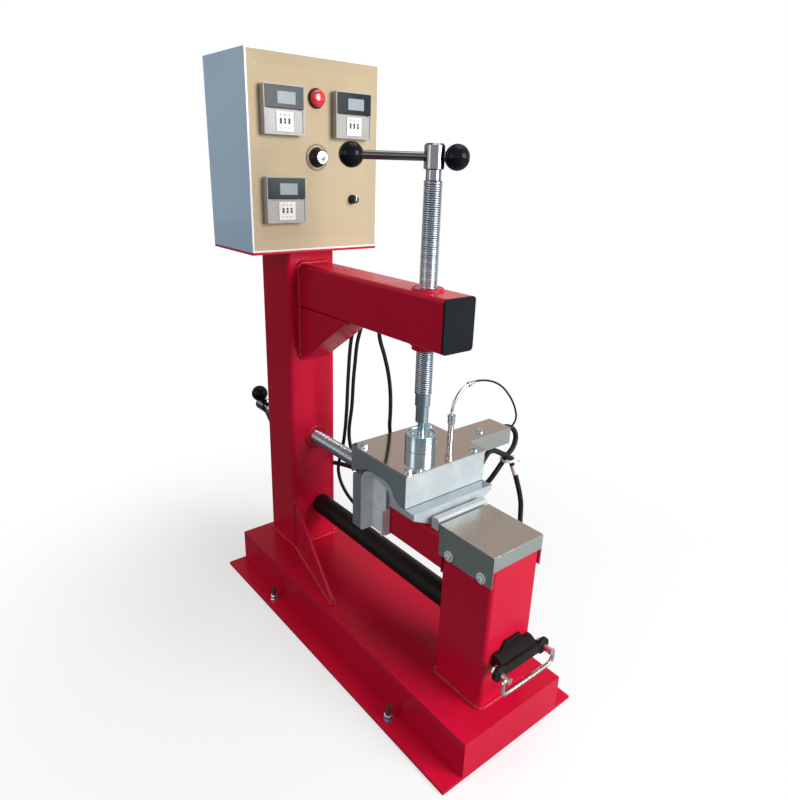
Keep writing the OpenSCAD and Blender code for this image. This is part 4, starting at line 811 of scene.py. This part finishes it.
# %% Controller faces, placed from the middle of each case, with a front and a back level for each kind
CONTROLLERS = [(-74, 899), (58, 899), (-74, 765)]
BLOCK_ROWS = [(-31, -20), (-12, -2.5)]
BLOCK_COLUMNS = [(-15, -9.4), (-5.6, -1.9), (1.9, 5.6), (9.4, 15)]
MINUS_ROW, PLUS_ROW, WHEEL_PITCH = -25.5, -7, 7.5
BEZEL_Y, GLASS_Y, DISPLAY_Y, BLOCK_Y = (177.4, 178.8), (177.0, 178.6), (176.8, 177.2), (177.3, 178.6)
BUTTON_Y, SIGN_Y = (176.6, 177.6), (176.5, 176.8)
bezels, faces, displays, blocks, slots, buttons = (bmesh.new() for _ in range(6))
for cx, cz in CONTROLLERS:
    def on_face(bm, x0, x1, z0, z1, front, back):
        block(bm, (cx + x0, front, cz + z0), (cx + x1, back, cz + z1))
    outer, inner = ((cx - half, cx + half, cz - half, cz + half) for half in (36, 32.5))
    ring_plate(bezels, outer, inner, *BEZEL_Y)
    on_face(faces, -34.4, 34.4, 1.8, 34.4, *GLASS_Y)
    on_face(displays, -12.5, 19.5, 8.5, 26, *DISPLAY_Y)
    for z0, z1 in BLOCK_ROWS:
        on_face(blocks, -15, 15, z0, z1, *BLOCK_Y)
    for x0, x1 in BLOCK_COLUMNS:
        on_face(blocks, x0, x1, -20, -12, *BLOCK_Y)
    for x in (-WHEEL_PITCH, 0, WHEEL_PITCH):
        for z in (MINUS_ROW, PLUS_ROW):
            on_face(buttons, x - 2.3, x + 2.3, z - 1.7, z + 1.7, *BUTTON_Y)
            on_face(slots, x - 1.2, x + 1.2, z - 0.25, z + 0.25, *SIGN_Y)
        on_face(slots, x - 0.25, x + 0.25, PLUS_ROW - 1.2, PLUS_ROW + 1.2, *SIGN_Y)
made("controller_bezels", bezels, case_grey, "frame", 0.5)
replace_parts(made("controller_faces", faces, window_slate, "frame", 0.8), "controller_windows")
made("controller_displays", displays, lcd_grey, "frame", 0.15)
made("pushwheel_blocks", blocks, block_white, "frame")
made("pushwheel_signs", slots, ink, "frame")
made("pushwheel_buttons", buttons, block_white, "frame", 0.3)
print("controllers:", len(CONTROLLERS))

# %% Numbers on the thumbwheels
FIGURE_SIZE, FIGURE_RISE, DIGIT_STEP = 5.2, 0.1, 36

def figure_mesh(digit):
    curve = bpy.data.curves.new("figure", "FONT")
    curve.body = str(digit)
    curve.align_x, curve.align_y = "CENTER", "CENTER"
    curve.size, curve.extrude = FIGURE_SIZE * MM, FIGURE_RISE * MM
    obj = linked("figure", curve)
    mesh = shown_mesh(obj)
    bpy.data.objects.remove(obj)
    return mesh

figures = [figure_mesh(d) for d in range(10)]
SHOWN = [1, 4, 5, 1, 5, 0, 1, 4, 0]
upright = Matrix.Rotation(math.pi / 2, 4, "X")
for n, (wheel, first) in enumerate(zip(WHEELS, SHOWN), 1):
    low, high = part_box(wheel)
    centre = Matrix.Translation([(a + b) / 2 for a, b in zip(low, high)])
    radius = (high[2] - low[2]) / 2
    bm = bmesh.new()
    for d in range(10):
        spin = Matrix.Rotation(math.radians(DIGIT_STEP * (d - first)), 4, "X")
        copy = figures[d].copy()
        copy.transform(centre @ spin @ Matrix.Translation((0, -radius, 0)) @ upright)
        bm.from_mesh(copy)
    made("wheel_numbers_%d" % n, bm, block_white, "wheel_%d" % n)
print("numbered", len(SHOWN), "wheels")

# %% Timer dial
DIAL_X, TIMER_Z, LAMP_Z, OUT = -8, 832, 921, (0, -1, 0)
PANEL_Y, MARK_Y, SECTOR_Y = 190.6, 190.4, 190.2
tilt = Matrix.Translation(Vector((DIAL_X, MARK_Y, TIMER_Z)) * MM) @ Matrix.Rotation(math.pi / 2, 4, "X")
for name, count, *sizes in (("dial_minutes", 60, 19.4, 1.8, 0.45), ("dial_fives", 12, 19.0, 2.6, 0.8)):
    values = dict(zip(("Radius", "Mark length", "Mark width"), (size * MM for size in sizes)))
    obj = grow(name, points_mesh(name, [(0, 0, 0)]), marks, {"Count": count, **values}, ink)
    obj.data.transform(tilt)
    placed(obj, "frame")
dial_rim = [(0.0, 20.2), (0.35, 20.2), (0.35, 20.8), (0.0, 20.8), (0.0, 20.2)]
turned("dial_ring", dial_rim, (DIAL_X, PANEL_Y, TIMER_Z), OUT, 64, ink, "frame")

# %% Fluted timer knob with its cap, each row of the skirt a place along the axis, a radius and a flute's depth
KNOB_SIDES, FLUTE_EVERY = 72, 3
KNOB_ROWS = [(189.8, 0, 0), (189.8, 15.4, 0), (188.2, 15.8, 0), (185.4, 15.2, 0), (184.6, 13.6, 0.5),
    (176.0, 12.2, 0.6), (173.4, 11.2, 0.2), (173.4, 0, 0)]
KNOB_CAP = [(-0.4, 0), (-0.4, 10.6), (0.6, 10.6), (1.0, 10.0), (0.8, 9.0), (0.8, 3.0), (1.1, 2.2), (1.1, 0)]
turned("timer_knob_cap", KNOB_CAP, (DIAL_X, 173.6, TIMER_Z), OUT, 48, spun, "timer")
bm = bmesh.new()
rings = []
for y, radius, flute in KNOB_ROWS:
    reach = [radius - flute * (k % FLUTE_EVERY == 0) for k in range(KNOB_SIDES)]
    spots = [Vector((DIAL_X + r * math.cos(a), y, TIMER_Z + r * math.sin(a))) * MM
             for r, a in zip(reach, circle_angles(KNOB_SIDES))]
    rings.append([bm.verts.new(spot) for spot in spots] if radius else [bm.verts.new(spots[0])] * KNOB_SIDES)
join_rings(bm, rings)
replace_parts(made("timer_knob_fluted", bm, black_moulded, "timer"), "timer_knob")
slab("timer_knob_mark", (-8.7, 176.0, 844.2), (-7.3, 183.6, 845.8), rim_white, "timer", 0.2)

# %% Lamp: a black bezel and a stepped red lens that a small bulb lights from behind
LAMP_AT = (DIAL_X, PANEL_Y, LAMP_Z)
BEZEL = [(-0.6, 11), (-0.6, 15.2), (0.9, 15.2), (1.9, 14.6), (1.9, 13.2), (-0.6, 11)]
LENS = [(0, 0), (0, 13.0), (7.6, 12.6), (9.2, 11.4), (10.6, 8.6), (11.4, 4.6), (11.6, 0)]
bezel = turned("lamp_bezel_ring", BEZEL, LAMP_AT, OUT, 56, black_moulded, "frame")
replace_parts(bezel, "lamp_bezel")
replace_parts(turned("lamp_red_dome", LENS, LAMP_AT, OUT, 56, lamp_red, "frame"), "lamp_lens")

# %% Pointer of the switch and red sector of the dial
slab("switch_pointer", (62.9, 176.9, 763), (65.1, 177.7, 772.6), rim_white, "switch", 0.15)
SECTOR_START, SECTOR_STEP, SECTOR_BAR, SECTOR_IN, SECTOR_OUT = -62, 5, 3.8, 15.6, 16.9
bm = bmesh.new()
for k in range(7):
    a0 = math.radians(SECTOR_START + SECTOR_STEP * k)
    a1 = a0 + math.radians(SECTOR_BAR)
    corners = ((SECTOR_IN, a0), (SECTOR_OUT, a0), (SECTOR_OUT, a1), (SECTOR_IN, a1))
    v = [bm.verts.new(Vector((DIAL_X + r * math.cos(a), y, TIMER_Z + r * math.sin(a))) * MM)
         for y in (PANEL_Y, SECTOR_Y) for r, a in corners]
    for face in ((0, 1, 2, 3), (4, 5, 6, 7), (0, 1, 5, 4), (1, 2, 6, 5), (2, 3, 7, 6), (3, 0, 4, 7)):
        bm.faces.new([v[i] for i in face])
made("dial_red_sector", bm, tick_red, "frame")
print("dial, knob, lamp and pointer made")

# %% [markdown]
# Small fittings.
# The probe's sheath has a crimped ring before its lead, the front handle has a wire bail, and a nylon tie holds the
# two sleeved cables together. Its ratchet head and cut tail stand out on the side away from the press.

# %% Crimp ring near the end of the probe's bent sheath
BEND_R, BEND_X, BEND_Z, CRIMP_ANGLE = 46, 120, 443.5, math.radians(78)
CRIMP = [(-3, 2.4), (-3, 3.9), (-2.4, 4.4), (2.4, 4.4), (3, 3.9), (3, 2.4), (-3, 2.4)]
crimp_at = (BEND_X - BEND_R * math.cos(CRIMP_ANGLE), -82, BEND_Z + BEND_R * math.sin(CRIMP_ANGLE))
crimp_way = (math.sin(CRIMP_ANGLE), 0, math.cos(CRIMP_ANGLE))
turned("probe_crimp_ring", CRIMP, crimp_at, crimp_way, 28, turned_steel, "press")

# %% Bail: a wire that is thinner at its ears than in the drop, half of it listed and mirrored
BAIL_Y, EAR_Z, EAR_R, DROP_MORE, THICKEN = -337, 149.5, 2.45, 0.75, 6
half_wire = [(-33.5, 150), (-39, 150), (-43.2, 149.4), (-45.2, 147), (-45.6, 143), (-45.6, 134), (-44.2, 129.2),
    (-40.8, 126.4), (-36.4, 125.6)]
whole_wire = half_wire + [(2 * PRESS_X - x, z) for x, z in reversed(half_wire)]
bail_path = smooth_path([(x, BAIL_Y, z) for x, z in whole_wire], 2)

def wire_radius(t):
    below = (EAR_Z - bail_path[round(t * (len(bail_path) - 1))].z / MM) / THICKEN
    return (EAR_R + DROP_MORE * min(1.0, max(0.0, below))) * MM

bail_mesh = tube_mesh("bail_wire", bail_path, 0, 20, wire_radius)
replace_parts(piece("bail_wire", bail_mesh, chrome, "bail_body"), "bail")

# %% Head and cut tail of the cable tie
TAIL = [(229, -94, 325), (234, -95.4, 322.6), (239, -97.4, 319.0), (243, -99.6, 314.6)]
TAIL_CORNERS = [(0, -2.2, 0), (0, 2.2, 0), (1.2, 2.2, 0.9), (1.2, -2.2, 0.9)]
bm = bmesh.new()
block(bm, (226.2, -96, 324.4), (231.2, -89.6, 329.6))
rings = [[bm.verts.new((Vector(p) + Vector(c)) * MM) for c in TAIL_CORNERS] for p in TAIL]
join_rings(bm, rings, False)
bm.faces.new(rings[0])
bm.faces.new(rings[-1])
made("cable_tie_tail", bm, tie_white, "frame", 0.3)
print("crimp ring, bail and tie made")

# %% [markdown]
# Studio.
# The light comes from the machine's front and right, so the front faces are bright and the left faces dark, as in
# the photograph. The background is plain white, and a warm ceiling above it gives polished metal something to show.

# %% Lights
def softbox(name, at, aim, size, power):
    data = bpy.data.lights.new(name, "AREA")
    data.shape = "RECTANGLE"
    data.size, data.size_y = size
    data.energy = power
    obj = linked(name, data)
    obj.location = at
    obj.rotation_euler = (Vector(aim) - Vector(at)).to_track_quat("-Z", "Y").to_euler()

softbox("front_softbox", (0.9, -2.5, 1.4), (0, 0, 0.4), (1.5, 1.5), 88)
softbox("top_softbox", (0.5, -0.1, 2.8), (0, 0, 0.4), (1.6, 1.6), 19)
softbox("left_fill", (-2.4, 0.2, 1.2), (0, 0, 0.6), (0.9, 1.4), 9.5)

# %% World: white for the camera, a pale horizon and a warm ceiling for reflections, even grey for soft light
WHITE = (1, 1, 1, 1)
world = bpy.data.worlds.new("studio")
bpy.context.scene.world = world
world.use_nodes = True
wt = world.node_tree
rays = add(wt, "ShaderNodeLightPath").outputs
way = add(wt, "ShaderNodeTexCoord").outputs["Generated"]
ceiling = add(wt, "ShaderNodeValToRGB", {"Fac": add(wt, "ShaderNodeSeparateXYZ", {0: way}).outputs["Z"]})
ramp = ceiling.color_ramp.elements
ramp[0].position, ramp[0].color = 0.14, WHITE
ramp[1].position, ramp[1].color = 1.0, (0.36, 0.31, 0.28, 1)
ramp.new(0.34).color = (0.56, 0.47, 0.42, 1)
shiny = calc(wt, "MAXIMUM", rays["Is Glossy Ray"], rays["Is Transmission Ray"])
soft_light = mixed(wt, shiny, (0.29, 0.29, 0.30, 1), ceiling.outputs["Color"])
back = wt.nodes["Background"].inputs
wt.links.new(mixed(wt, rays["Is Camera Ray"], soft_light, WHITE), back["Color"])
back["Strength"].default_value = 1.0

# %% Floor: pale paper that keeps a soft shadow near the machine and runs out to white
FLOOR_HALF = 8
corners = [(x * FLOOR_HALF, y * FLOOR_HALF, 0) for x, y in ((-1, -1), (1, -1), (1, 1), (-1, 1))]
floor_mesh = bpy.data.meshes.new("floor")
floor_mesh.from_pydata(corners, [], [(0, 1, 2, 3)])
floor = piece("floor", floor_mesh, None)
floor_mat = bpy.data.materials.new("studio_floor")
floor_mat.use_nodes = True
ft = floor_mat.node_tree
in_view = add(ft, "ShaderNodeLightPath").outputs["Is Camera Ray"]
where = on_object(ft)
across = add(ft, "ShaderNodeSeparateXYZ", {0: where}).outputs["X"]
# For reflections and bounced light the floor is painted dark green-grey to the left and paler to the right: painted
# shade and a painted dark reflection, so left faces and metal turned left go dark
painted_shade_floor_tone = mixed(ft, ranged(ft, across, -0.3, 0.35), (0.13, 0.16, 0.165, 1), (0.44, 0.50, 0.50, 1))
paper = add(ft, "ShaderNodeBsdfDiffuse", {"Color": mixed(ft, in_view, painted_shade_floor_tone, (0.92, 0.92, 0.92, 1))})
glow = add(ft, "ShaderNodeEmission", {"Color": WHITE, "Strength": 1.0})
away = add(ft, "ShaderNodeVectorMath", {0: where}, operation="LENGTH").outputs["Value"]
fade = ranged(ft, away, 0.35, 0.95, 0.55, 1.0, interpolation_type="SMOOTHSTEP")
share = calc(ft, "MULTIPLY", in_view, fade)
mix = add(ft, "ShaderNodeMixShader", {"Fac": share, 1: paper.outputs[0], 2: glow.outputs[0]})
ft.links.new(mix.outputs[0], ft.nodes["Material Output"].inputs["Surface"])
floor_mesh.materials.append(floor_mat)
